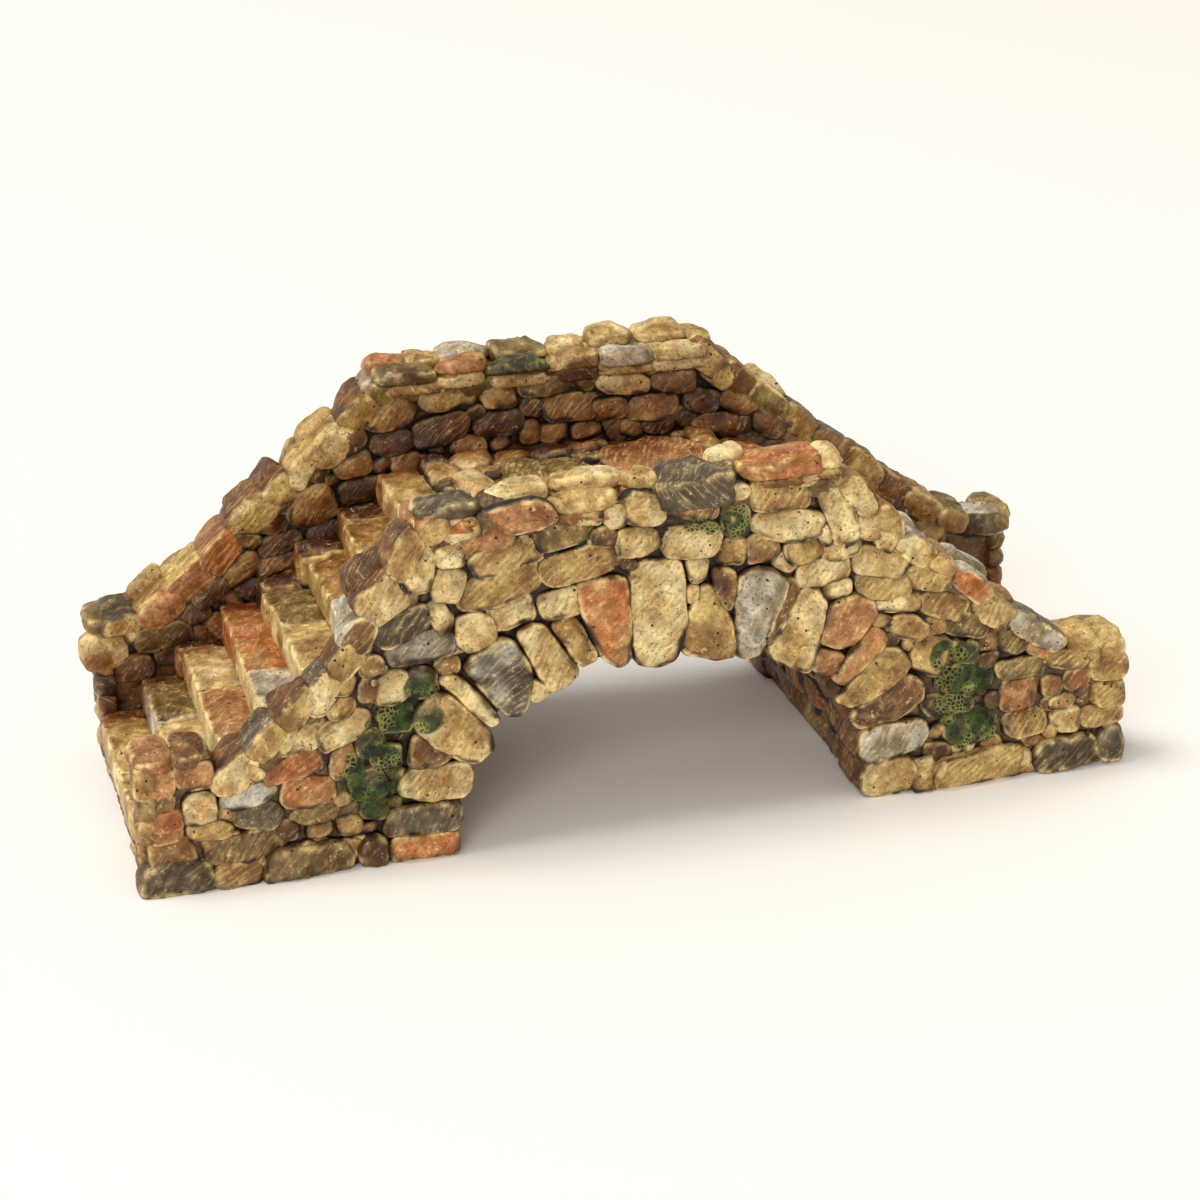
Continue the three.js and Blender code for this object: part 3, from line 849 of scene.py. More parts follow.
# Flags of the deck: middle x and y, length, breadth, tilt, and colour with surface.
DECK_FLAGS = [
    (-6.3, 8.2, 15, 9.4, 3, "olive hatched"), (-5.2, 1.8, 15, 7.4, 2, "orange"),
    (-14.6, -1, 5.2, 10.8, 0, "pink"), (11.3, 9.6, 16.6, 14.8, 0, "pink hatched"),
    (-17.8, 5.6, 5.8, 10.6, 0, "cream"), (-21.4, 10.8, 4.6, 5.8, 0, "tan"),
    (-21.6, 16.2, 3.8, 4.2, 0, "brown"), (-16, 15, 6.6, 6.2, 0, "cream"), (-9.4, 15.8, 5.4, 4.6, 0, "tan"),
    (-3, 15.9, 6.4, 4.4, 0, "brown"), (21.2, 14.2, 4.4, 7.6, 0, "tan"), (21, 5.4, 4.6, 8.4, 0, "cream"),
    (17.8, -1.8, 10.6, 6.6, 4, "orange"), (7.8, -1.2, 8.4, 6.6, 0, "pink"),
    (-20.8, -4.4, 4.8, 8.4, 0, "tan"), (-19.6, -13.6, 7.4, 9, 0, "grey"),
    (-10.4, -12.8, 9.6, 10.4, 4, "cream"), (-0.6, -12.2, 9, 9.6, 0, "tan hatched"),
    (9.2, -12.2, 9.4, 10.2, -3, "pink"), (18.8, -12.6, 8.4, 10.6, 0, "olive"),
]

# Inner face of the rear wall, seen over the front one.
REAR_INNER_STONES = [
    (-73.6, 18.9, 6.6, 5.2, 0, "cream"), (-70.2, 15.4, 7, 3.8, 0, "brown"),
    (-64.7, 20, 8.8, 4.4, 4, "olive"), (-68.8, 20.9, 3.2, 2.6, 0, "cream"),
    (-60, 23.2, 6, 3.6, 20, "brown"), (-57, 26.6, 6, 3, 30, "brown"),
    (-52.4, 29.4, 8, 3.6, 32, "tan hatched"), (-45.6, 33.2, 7.2, 3.2, 12, "brown hatched"),
    (-46, 29.7, 7.6, 3, 8, "tan hatched"), (-40.6, 38.6, 7.4, 5.8, 20, "tan hatched"),
    (-38.6, 34.2, 5.4, 3, 10, "brown"), (-32.8, 40.6, 6.6, 3.4, 8, "brown"),
    (-33.8, 44.6, 6.4, 3.4, 8, "tan"), (-34.6, 48.6, 6, 3.2, 20, "brown"),
    (-27.6, 52.3, 8.6, 4.6, 16, "tan hatched"), (-27.2, 47.6, 7.2, 3.2, 5, "brown"),
    (-18.2, 54, 9, 3.2, 0, "tan"), (-19.6, 49.2, 9.4, 4, 10, "brown hatched"),
    (-10.4, 53.4, 5.4, 3.4, 0, "tan"), (-3, 54.4, 8.4, 2.8, 4, "olive"),
    (0.8, 50.6, 9.4, 3.8, 0, "tan hatched"), (9.6, 53.6, 8.6, 3.2, -6, "cream"),
    (18, 53.2, 7, 3.2, -4, "brown"), (25.4, 53.6, 5.6, 3.8, -40, "tan"),
    (-10.4, 49.2, 7.8, 3.6, 0, "brown"), (-5.6, 47.2, 3, 3.4, 0, "tan"), (7.4, 49.6, 5.4, 3.2, 0, "tan"),
    (14.6, 49.2, 8.8, 3.8, 0, "cream"), (22.4, 49.4, 5.8, 3.2, -10, "brown"),
    (28.6, 48.4, 6.6, 3.6, -30, "tan"), (-24.8, 44, 5.8, 3, 0, "tan"), (-15.4, 45.6, 5.6, 3.4, 0, "cream"),
    (-1.6, 46.8, 4.6, 2.6, 0, "cream"), (3.4, 46.6, 4.4, 2.4, 0, "cream"),
    (33.6, 44.4, 5.6, 3.6, -40, "brown"), (38.4, 40.6, 6.4, 3.6, -40, "tan"),
    (43.2, 36.6, 6.4, 3.6, -38, "brown"), (49, 32.6, 7, 3.6, -38, "tan"),
    (55.4, 28.2, 6.6, 3.6, -36, "brown"), (61, 22.8, 6.4, 3.8, -30, "tan"),
]

REAR_SLOPE_COPING = [
    (-70.6, 22.4, 6.6, 2.8, 4, "cream", "dark"), (-64.8, 24.6, 7.2, 4.2, 40, "pink", "tan"),
    (-60.2, 28.4, 8.6, 4.6, 38, "pink hatched", "tan"),
    (-54.6, 33.2, 7.6, 4.4, 44, "orange hatched", "pink"), (-49.8, 38, 8.6, 5, 42, "tan hatched", "brown"),
    (-45.4, 41.4, 6.8, 4, 46, "tan", "brown"), (-42, 44.4, 5.2, 3.2, 60, "cream", "tan"),
    (-37.2, 48.2, 8.2, 4.8, 42, "cream", "tan"), (-32.4, 52.6, 6.4, 4.2, 44, "tan", "brown"),
    (-28.4, 56.2, 5.6, 3.8, 38, "olive", "grey"), (23.8, 55.8, 6.6, 4, -42, "tan", "brown"),
    (28.2, 52.6, 6.6, 3.8, -40, "brown", "tan"), (33.4, 48.4, 7.4, 3.8, -42, "olive", "cream"),
    (38.8, 44, 7.2, 3.8, -38, "tan", "dark"), (44.2, 39.6, 7.4, 3.6, -36, "brown", "dark"),
    (49.8, 35.4, 7.2, 3.8, -38, "tan", "olive"), (55, 31.2, 7.4, 3.6, -36, "brown", "brown"),
    (60.4, 27.2, 7.2, 3.6, -34, "tan", "tan"), (65.6, 24.2, 6, 3.4, -22, "cream", "olive"),
    (71.4, 23, 7.4, 3.6, -4, "dark", "grey"),
]

REAR_CAPS = [
    (-30, -24.4, 21.4, 27.8, 60.2, "orange"), (-29.6, -20.4, 17.8, 21.6, 59.6, "olive"),
    (-24, -18.8, 22, 28, 60, "tan"), (-20, -12.6, 17.6, 22.4, 60.4, "orange"),
    (-18.4, -10.6, 22.8, 28, 60.4, "grey"), (-12.2, -2.8, 17.6, 21.8, 59.4, "green"),
    (-10.2, -1.4, 22.2, 28, 60.3, "olive"), (-2.4, 5.4, 17.8, 22.6, 59.2, "tan"),
    (-1, 4.8, 23, 28, 60.1, "cream"), (5, 12.2, 21, 27.8, 61.6, "cream"),
    (5.8, 14.4, 17.4, 20.8, 59.6, "grey"), (12.6, 20.2, 20.6, 27.8, 61.4, "cream"),
    (14.8, 22.6, 17.4, 20.4, 59.6, "cream"), (20.6, 24.6, 21, 27.8, 59.8, "tan"),
]

# Tops of the end posts.
POST_CAPS = {
    "front_left": [(-75.4, -70.2, -27.4, -18.8, 21.6, "pink", 2),
                   (-70, -64.8, -27.2, -18.6, 21.4, "brown", 2)],
    "front_right": [(66, 74.4, -27.8, -18.4, 22.8, "tan", 2.6),
                    (71.6, 75.8, -27.4, -19.6, 21.4, "cream", 3)],
    "rear_left": [(-75.9, -71, 19, 27.8, 24.2, "olive", 2.2), (-71.6, -66, 18.8, 27.6, 25, "dark", 2.8)],
    "rear_right": [(66.4, 72, 18.8, 28, 24.6, "brown", 3), (71.4, 75.9, 18.6, 27.6, 25.4, "olive", 3.4)],
}


# ---------------------------------------------------------------- laying the stones

COLOUR_MIX = ["tan", "cream", "brown", "tan", "olive", "pink", "cream", "brown", "orange", "grey", "tan"]
WARM_MIX = ["brown", "tan", "brown", "orange", "tan", "olive"]
END_MIX = ["grey", "tan", "brown", "dark", "olive", "tan"]
SURFACES = ["", "hatched", "pitted"]
RUBBLE_X = 64  # the rubble and its fillers lie between the end posts, this far either way


def pick(rng, choices):
    return str(rng.choice(choices))


def wall_zone(x, z):
    """Which CAD piece of a wall a stone at x, z belongs to."""
    end = "left" if x < 0 else "right"
    if z < 3.4 and abs(x - ARCH_X) > EXTRADOS[0] - 1.5:
        return f"{end}_footing"
    if abs(x) > POST_X:
        return f"{end}_end_post"
    return "wall"


def look_of(text):
    """The colour of a listed stone, and its surface, which is the rest of the text."""
    colour, _, surface = text.partition(" ")
    return colour, surface


def above_floor(outline, low=0.15):
    """The outline with the part that would be under the floor moved up to it."""
    return np.stack([outline[:, 0], np.maximum(outline[:, 1], low)], axis=1)


def lay_list(pieces, side, face, stones, rng, top, **more):
    """Lays listed stones on a wall face, each into the piece that its place belongs to."""
    for x, z, length, height, tilt, look in stones:
        outline = above_floor(split_stone(x, z, length, height, tilt, rng))
        colour, style = look_of(look)
        piece = pieces[f"{side}_{wall_zone(x, z)}"]
        proud = top + rng.uniform(-0.25, 0.3)
        at_corner = abs(x) + length / 2 > END_X - 1.5
        lay_stone(piece, face, outline, colour, rng, top=proud, style=style, lean=rng.normal(LEAN, 0.06),
                  bury=OPEN_SIDES if at_corner else -MORTAR_DEPTH, **more)


def lay_cap(piece, cap, rng, thickness=4.2):
    """A cap on a wall or a post: a flat stone on a second one, or one block if its thickness is listed."""
    low_x, high_x, low_y, high_y, top_z, look, *block = cap
    colour, style = look_of(look)
    middle = np.array([low_x + high_x, low_y + high_y]) / 2
    wide, deep = high_x - low_x, high_y - low_y
    looks = {"bury": OPEN_SIDES, "side_rough": 0.28}
    first = block[0] if block else rng.uniform(1.7, 2.7)
    outline = split_stone(*middle, wide, deep, rng.normal(0, 2), rng)
    lay_stone(piece, level_face(top_z), outline, colour, rng, top=0, root=-first - 0.3, style=style,
              fillet=rng.uniform(0.45, 0.9), **looks)
    if not block:
        shift_x, shift_y = rng.uniform(-0.8, 0.8), rng.uniform(-0.4, 0.4)
        outline = split_stone(middle[0] + shift_x, middle[1] + shift_y, wide * rng.uniform(0.85, 1.05),
                              deep * rng.uniform(0.92, 1.0), rng.normal(0, 3), rng)
        lay_stone(piece, level_face(top_z - first), outline, pick(rng, COLOUR_MIX), rng, top=0,
                  root=first - thickness, style=pick(rng, SURFACES), fillet=0.5, **looks)


def lay_coping_stone(piece, face, back_face, stone, rng):
    """A coping stone on a slope, and the stone behind it that faces the other way."""
    x, z, length, height, tilt, look, top_colour = stone
    colour, style = look_of(look)
    split = WALL_THICKNESS * rng.uniform(0.40, 0.64)
    looks = {"bury": OPEN_SIDES, "side_rough": 0.3, "side_colour": top_colour}
    outline = split_stone(x, z, length, height, tilt, rng)
    lay_stone(piece, face, outline, colour, rng, top=rng.uniform(0.2, 0.9), root=-split - 0.5, style=style,
              **looks)
    shift_x, shift_z = rng.normal(0, 0.6, 2)
    outline = split_stone(-x - shift_x, z + shift_z - 0.2, length * rng.uniform(0.75, 1.05),
                          height * rng.uniform(0.85, 1.1), -tilt + rng.normal(0, 7), rng)
    back_colour = pick(rng, [colour, "tan", "brown"])
    lay_stone(piece, back_face, outline, back_colour, rng, top=rng.uniform(0, 0.5),
              root=split - WALL_THICKNESS - 0.5, style=style, **looks)


def coursed(low_u, high_u, bottom, top, rng, course=(3.2, 4.8), length=(5.0, 11.0)):
    """Outlines of rubble laid in courses between two lines, which are functions of u."""
    joint, least_height, least_end, least_length = 0.7, 1.5, 0.5, 1.4

    def span(at):
        """The lowest and highest point of a stone of this course at u = at."""
        return max(level, float(bottom(at))) + joint / 2, min(level + rise, float(top(at))) - joint / 2

    outlines = []
    sample = np.linspace(low_u, high_u, 200)
    level = float(np.min(bottom(sample)))
    ceiling = float(np.max(top(sample)))
    while level < ceiling - 0.8:
        rise = rng.uniform(*course)
        u = low_u - rng.uniform(0, 2)
        while u < high_u - 1.0:
            step = rng.uniform(*length)
            left, right = max(u, low_u) + joint / 2, min(u + step, high_u) - joint / 2
            u += step
            if right - left < 1.6:
                continue
            ends = [(left, *span(left)), (right, *span(right))]
            heights = [high - low for _, low, high in ends]
            if max(heights) < least_height:
                continue
            if min(heights) < least_end:
                short = heights.index(min(heights))
                share = (least_end - heights[short]) / (heights[1 - short] - heights[short])
                at = ends[short][0] + share * (ends[1 - short][0] - ends[short][0])
                ends[short] = (at, span(at)[0], span(at)[0] + least_end)
            (left, low_left, high_left), (right, low_right, high_right) = ends
            if right - left < least_length:
                continue
            corners = [(left, low_left), (right, low_right), (right, high_right), (left, high_left)]
            outlines.append(rounded(np.array(corners) + rng.uniform(-0.28, 0.28, (4, 2))))
        level += rise
    return outlines


def lay_coursed(pieces, side, face, outlines, rng, mix, grain):
    """Lays outlines on a wall face that is seen from behind, so that its own direction is -X."""
    for outline in outlines:
        middle = outline.mean(axis=0)
        piece = pieces[f"{side}_{wall_zone(-middle[0], middle[1])}"]
        style = pick(rng, ["", "", "hatched", "pitted", "rough"])
        lay_stone(piece, face, above_floor(outline), pick(rng, mix), rng, top=0.2 + rng.uniform(-0.3, 0.35),
                  grain=grain, style=style)


def inside(points, ring):
    """Whether each point is inside a closed ring."""
    following = np.roll(ring, -1, axis=0)
    x, y = points[:, :1], points[:, 1:]
    crosses = (ring[:, 1] > y) != (following[:, 1] > y)
    rise = following[:, 1] - ring[:, 1]
    rise = np.where(np.abs(rise) < 1e-9, 1e-9, rise)
    at = ring[:, 0] + (y - ring[:, 1]) / rise * (following[:, 0] - ring[:, 0])
    return (np.sum(crosses & (x < at), axis=1) % 2) == 1


def fill_gaps(piece, face, low_u, high_u, bottom, top, rng, tries, colours, grain=None, low=0.15):
    """Chips and pebbles in the mortar wherever the stones leave room."""
    smallest, largest = 0.6, 1.8  # radius
    rings = [ring for owner, ring in piece.outlines if owner is face]
    cloud = np.concatenate(rings)
    u = rng.uniform(low_u, high_u, tries)
    v = bottom(u) + rng.uniform(0, 1, tries) * np.maximum(top(u) - bottom(u), 0)
    points = np.stack([u, v], axis=1)
    room = np.array([np.sqrt(((cloud - point) ** 2).sum(axis=1).min()) for point in points])
    room = np.minimum(room, np.minimum(v - bottom(u), top(u) - v) + 0.2)
    for ring in rings:
        room[inside(points, ring)] = 0
    chosen = []
    for k in np.argsort(-room):
        radius = min(room[k] - 0.1, largest)
        if radius < smallest:
            break
        if all(np.hypot(*(points[k] - other)) > radius + size + 0.2 for other, size in chosen):
            chosen.append((points[k], radius))
    for (x, z), radius in chosen:
        outline = split_stone(x, z, 2 * radius * rng.uniform(1.2, 2.1), 2 * radius, rng.normal(0, 30), rng)
        outline = above_floor(outline, low)
        lay_stone(piece, face, outline, pick(rng, colours), rng, top=-0.05 + rng.uniform(-0.3, 0.25),
                  fillet=0.4, dome=0.15, grain=grain, style=pick(rng, ["", "hatched", "rough"]), root=-2.2)


# ---------------------------------------------------------------- sides of the bridge

def tread_profile(inset=0.0):
    """The stairs and the deck as points in the X-Z plane, from the left foot to the right foot."""
    left = []
    for number in range(1, TREADS + 1):
        name = f"left_tread_{number}" if number < TREADS else "left_landing_slab"
        low, high = node_box(name)
        left += [(low[0] + inset, high[2]), (high[0] + inset, high[2])]
    left.append((-DECK_X + inset, DECK_Z))
    return left + [(-x, z) for x, z in reversed(left)]


def stair_line(x):
    """Height of the walkway's surface at x."""
    profile = sorted(tread_profile(), key=lambda point: point[0])
    return np.interp(x, *zip(*profile))


def level_line(z):
    """A level line for the functions that take the bottom or the top of an area as a line."""
    return lambda x: np.full_like(np.asarray(x, float), z)


def ring_top(x):
    """Top of the arch ring above x, where the rubble begins, and the floor beside it."""
    return arch_height(x, EXTRADOS, 0.8)


def lay_front_wall(pieces, rng):
    """The listed stones and ring of the outer face, chips between them, and courses on the inner face."""
    lay_list(pieces, "front", FRONT_FACE, FRONT_STONES, rng, 0.15)
    lay_list(pieces, "front", FRONT_FACE, FRONT_FOOTING, rng, 1.2, root=-3.0, fillet=0.8)
    for name, stones in FRONT_RING.items():
        node = f"front_{name}"
        piece = Piece(f"{node}_cast")
        for look, *corners in stones:
            colour, style = look_of(look)
            size = np.ptp(np.array(corners, float), axis=0)
            deep = size.max() > 6.5  # a stone this large passes through the wall
            outline = above_floor(rounded(corners))
            lay_stone(piece, FRONT_FACE, outline, colour, rng, top=0.9 if deep else 0.4,
                      root=-WALL_THICKNESS - 0.4 if deep else -2.8, style=style, fillet=0.6,
                      side_colour="brown" if deep else None)
        pieces[node] = piece
        pieces["front_wall"].outlines += piece.outlines
    fill_gaps(pieces["front_wall"], FRONT_FACE, -RUBBLE_X, RUBBLE_X, lambda x: arch_height(x, INTRADOS, 1.0),
              lambda x: front_top(x) - 0.8, rng, 9000, ["tan", "brown", "cream", "tan"])

    inner_bottom = lambda u: stair_line(-u) - 0.8
    inner_top = lambda u: front_top(-u) - 1.5
    outlines = coursed(-RUBBLE_X, RUBBLE_X, inner_bottom, inner_top, rng, course=(3.0, 4.2), length=(4, 9))
    lay_coursed(pieces, "front", FRONT_INNER_FACE, outlines, rng, WARM_MIX, COARSE_GRAIN)


def lay_rear_wall(pieces, rng):
    """The listed stones of the inner face, and the ring and courses of the outer face."""
    lay_list(pieces, "rear", REAR_INNER_FACE, REAR_INNER_STONES, rng, 0.35)
    fill_gaps(pieces["rear_wall"], REAR_INNER_FACE, -RUBBLE_X, RUBBLE_X, lambda x: stair_line(x) - 0.5,
              lambda x: rear_top(x) - 1.0, rng, 7000, ["brown", "brown", "tan"])

    ring_count = 7
    for number in range(ring_count):
        name = "rear_keystone" if number == ring_count // 2 else f"rear_ring_stone_{number + 1:02d}"
        piece = Piece(f"{name}_cast")
        for half in range(2):
            start = 180 - 180 / ring_count * (number + half / 2)
            end = start - 180 / ring_count / 2
            start, end = start - 0.7, end + 0.7
            inner = [arch_point(start + (end - start) * k / 3, INTRADOS, 0.1) for k in range(4)]
            outer_reach = rng.uniform(-1.6, 0.6)
            outer = [arch_point(end + (start - end) * k / 3, EXTRADOS, outer_reach) for k in range(4)]
            outline = rounded([(-x, z) for x, z in inner + outer], cut=0.3)
            colour = pick(rng, ["tan", "cream", "brown", "grey", "olive"])
            lay_stone(piece, REAR_FACE, above_floor(outline), colour, rng, top=0.9 + rng.uniform(-0.2, 0.2),
                      root=-WALL_THICKNESS - 0.4, fillet=0.7, style=pick(rng, SURFACES), side_colour="brown",
                      grain=BACK_GRAIN)
        pieces[name] = piece
        pieces["rear_wall"].outlines += piece.outlines

    outlines = coursed(-74.8, 74.8, lambda u: ring_top(-u), lambda u: rear_top(-u) - 3.4, rng)
    lay_coursed(pieces, "rear", REAR_FACE, outlines, rng, COLOUR_MIX, BACK_GRAIN)
    fill_gaps(pieces["rear_wall"], REAR_FACE, -RUBBLE_X, RUBBLE_X, lambda u: arch_height(-u, INTRADOS, 1.0),
              lambda u: rear_top(-u) - 3.0, rng, 5000, ["tan", "brown"], grain=COARSE_GRAIN)


def lay_coping(pieces, side, face, back_face, slope, caps, top_line, rng):
    """The bed of mortar and the stones along the top of one wall."""
    foot_x, crown_x = 64.8, (-30, 27)
    stretches = {"left_slope": (-foot_x, crown_x[0]), "level": crown_x, "right_slope": (crown_x[1], foot_x)}
    low_y, high_y = sorted((face.origin[1], face.origin[1] + WALL_THICKNESS * -face.out[1]))
    for place, (low_x, high_x) in stretches.items():
        piece = Piece(f"{side}_coping_{place}_cast")
        x = np.linspace(low_x, high_x, 12)
        upper = [(at, float(top_line(at)) - 1.2) for at in x]
        lower = [(at, z - 2.6) for at, z in reversed(upper)]
        extruded_mortar(piece, upper + lower, low_y + 0.7, high_y - 0.7, GRAIN * 1.7)
        pieces[f"{side}_coping_{place}"] = piece
        for stone in slope:
            if low_x <= stone[0] < high_x:
                lay_coping_stone(piece, face, back_face, stone, rng)
        if place == "level":
            for cap in caps:
                lay_cap(piece, cap, rng)
    for stone in slope:
        if abs(stone[0]) >= foot_x:
            end = "left" if stone[0] < 0 else "right"
            lay_coping_stone(pieces[f"{side}_{end}_end_post"], face, back_face, stone, rng)


def lay_ends(pieces, rng):
    """The end faces of the posts and their tops."""
    for side, sign, post_z in (("front", -1, FRONT_POST_Z), ("rear", 1, REAR_POST_Z)):
        for end, face, way in (("left", LEFT_END, -1), ("right", RIGHT_END, 1)):
            middle = sign * way * (OUTER_Y + INNER_Y) / 2
            low_u, high_u = middle - WALL_THICKNESS / 2 + 0.3, middle + WALL_THICKNESS / 2 + 0.2
            lines = (level_line(0), level_line(post_z - 0.6))
            outlines = coursed(low_u, high_u, *lines, rng, course=(3.0, 4.6), length=(4.4, 9))
            post = pieces[f"{side}_{end}_end_post"]
            for outline in outlines:
                colour = pick(rng, END_MIX)
                target = pieces[f"{side}_{end}_footing"] if outline[:, 1].mean() < 3 else post
                lay_stone(target, face, above_floor(outline), colour, rng, top=0.3 + rng.uniform(-0.2, 0.3),
                          root=-2.4, grain=COARSE_GRAIN, style=pick(rng, SURFACES), bury=OPEN_SIDES)
            for cap in POST_CAPS[f"{side}_{end}"]:
                lay_cap(post, cap, rng, thickness=3.0)


def lay_tread(name, blocks, rng):
    """One tread in blocks side by side, which reach in under the next tread."""
    low, high = node_box(name)
    piece = Piece(f"{name}_cast")
    face = level_face(high[2])
    nose_side = -1 if low[0] < 0 else 1
    for low_y, high_y, colour, riser in blocks:
        start, stop = low[0] - 0.1, high[0] + 0.1
        if nose_side < 0:
            stop += 0.9
            start += rng.uniform(-0.6, 0.35)
        else:
            start -= 0.9
            stop -= rng.uniform(-0.6, 0.35)
        corners = np.array([(start, low_y), (stop, low_y), (stop, high_y), (start, high_y)])
        corners += rng.uniform(-0.22, 0.22, (4, 2))
        lay_stone(piece, face, rounded(corners, cut=0.06), colour, rng, top=rng.uniform(-0.35, 0.15),
                  root=-6.2, bury=-6.2, fillet=0.5, dome=0.2, side_colour=riser, lean=rng.normal(0, 0.02, 2))
    return piece


def random_blocks(rng):
    """Two blocks for a tread of the right flight."""
    cut = rng.uniform(-6, 6)
    palette = list(rng.choice(["cream", "tan", "pink", "orange", "grey", "olive"], 4))
    return [(-18.6, cut - 0.25, palette[0], palette[2]), (cut + 0.25, 18.6, palette[1], palette[3])]


def lay_stairs(pieces, rng):
    for end in ("left", "right"):
        for number in range(TREADS):
            name = f"{end}_tread_{number + 1}" if number < TREADS - 1 else f"{end}_landing_slab"
            blocks = LEFT_TREADS[number] if end == "left" else random_blocks(rng)
            pieces[name] = lay_tread(name, blocks, rng)


def lay_deck(pieces, rng):
    """The flags of the deck, shared among its three CAD pieces, and pebbles between them."""
    edges = {"deck_flags_left": -DECK_X, "deck_flags_middle": -DECK_X / 3, "deck_flags_right": DECK_X / 3}
    for name in edges:
        pieces[name] = Piece(f"{name}_cast")
    face = level_face(DECK_Z)
    for x, y, length, breadth, tilt, look in DECK_FLAGS:
        colour, style = look_of(look)
        name = [key for key, edge in edges.items() if x > edge][-1]
        outline = split_stone(x, y, length, breadth, tilt, rng)
        lay_stone(pieces[name], face, outline, colour, rng, top=0.2 + rng.uniform(-0.25, 0.25), root=-2.8,
                  bury=-1.3, fillet=0.8, dome=0.3, style=style, lean=rng.normal(0, 0.015, 2))
    all_flags = [outline for name in edges for outline in pieces[name].outlines]
    for name, edge in edges.items():
        pieces[name].outlines = list(all_flags)
        fill_gaps(pieces[name], face, edge + 0.8, edge + DECK_X * 2 / 3 - 0.8, level_line(-INNER_Y + 0.6),
                  level_line(INNER_Y - 0.6), rng, 3000, ["tan", "brown", "cream", "olive"], low=-INNER_Y)


def lay_core(pieces, rng):
    """The vaulted core: its mortar, the stones that line the vault and the foot of each flight."""
    piece = Piece("vaulted_core_cast")
    left_profile = [(-END_X + 0.7, 0.0)] + [(x, z - 5.4) for x, z in tread_profile(inset=0.9)[:-1]
                                            if x < -DECK_X - 0.1]
    deck = [(-DECK_X + 0.4, DECK_Z - 1.3), (DECK_X - 0.4, DECK_Z - 1.3)]
    right_profile = [(-x, z) for x, z in reversed(left_profile)]
    arc = [arch_point(angle, INTRADOS, 1.3) for angle in np.linspace(0, 180, 60)]
    loop = left_profile + deck + right_profile + arc
    extruded_mortar(piece, loop, -INNER_Y - 0.6, INNER_Y + 0.6, GRAIN * 1.9)

    angle = 2.0
    while angle < 177:
        x, z = arch_point(angle, INTRADOS)
        turn = math.degrees(rng.uniform(4.2, 6.0) / math.hypot(x - ARCH_X, z))
        turn = min(turn, 178 - angle)
        y = -INNER_Y - rng.uniform(0, 3)
        while y < INNER_Y - 1.5:
            length = rng.uniform(6, 12)
            left, right = max(y, -INNER_Y + 0.1), min(y + length, INNER_Y + 0.4)
            y += length + 0.7
            if right - left < 2.5:
                continue
            face = vault_face(angle + turn / 2, (left + right) / 2)
            reach = turn / 2 * math.radians(1) * math.hypot(x - ARCH_X, z) - 0.4
            outline = split_stone(0, 0, right - left, 2 * reach, 0, rng)
            lay_stone(piece, face, outline, pick(rng, WARM_MIX), rng, top=0.1 + rng.uniform(-0.3, 0.3),
                      root=-2.4, bury=-1.2, grain=COARSE_GRAIN, style=pick(rng, SURFACES))
        angle += turn
    foot_z = node_box("left_tread_1")[0][2]
    for face in (LEFT_END, RIGHT_END):
        outlines = coursed(-INNER_Y, INNER_Y, level_line(0), level_line(foot_z + 0.3), rng, length=(6, 12))
        for outline in outlines:
            colour = pick(rng, ["grey", "tan", "olive", "brown"])
            lay_stone(piece, face, above_floor(outline), colour, rng, top=0.1, root=-2.4, grain=COARSE_GRAIN)
    pieces["vaulted_core"] = piece


# ---------------------------------------------------------------- materials

class Graph:
    """Short calls that add shader nodes to one material."""

    def __init__(self, material):
        self.tree = material.node_tree
        self.count = 0

    def feed(self, socket, value):
        """Links an input to another node's output, or sets its number or colour."""
        if isinstance(value, bpy.types.NodeSocket):
            self.tree.links.new(value, socket)
        elif isinstance(value, (int, float)):
            socket.default_value = value
        else:
            socket.default_value = (*value, 1)

    def add(self, kind, inputs, **settings):
        self.count += 1
        made = self.tree.nodes.new(kind)
        made.location = (220 * (self.count % 9), -240 * (self.count // 9))
        for key, value in settings.items():
            setattr(made, key, value)
        for key, value in inputs.items():
            self.feed(made.inputs[key], value)
        return made

    def maths(self, operation, first, second=0.0, third=0.0, clamp=False):
        inputs = {0: first, 1: second, 2: third}
        return self.add("ShaderNodeMath", inputs, operation=operation, use_clamp=clamp).outputs[0]

    def plus(self, first, second, clamp=False):
        return self.maths("ADD", first, second, clamp=clamp)

    def minus(self, first, second):
        return self.maths("SUBTRACT", first, second)

    def times(self, first, second):
        return self.maths("MULTIPLY", first, second)

    def scaled(self, value, factor, offset):
        return self.maths("MULTIPLY_ADD", value, factor, offset)

    def noise(self, scale, detail, roughness, vector):
        inputs = {"Scale": scale, "Detail": detail, "Roughness": roughness, "Vector": vector}
        return self.add("ShaderNodeTexNoise", inputs).outputs["Fac"]

    def step(self, value, low, high):
        """Smooth step of a value between two limits."""
        limits = {"Value": value, "From Min": low, "From Max": high}
        return self.add("ShaderNodeMapRange", limits, interpolation_type="SMOOTHSTEP").outputs["Result"]

    def mix(self, share, first, second, blend="MIX"):
        inputs = {0: share, 6: first, 7: second}
        return self.add("ShaderNodeMix", inputs, data_type="RGBA", blend_type=blend).outputs[2]
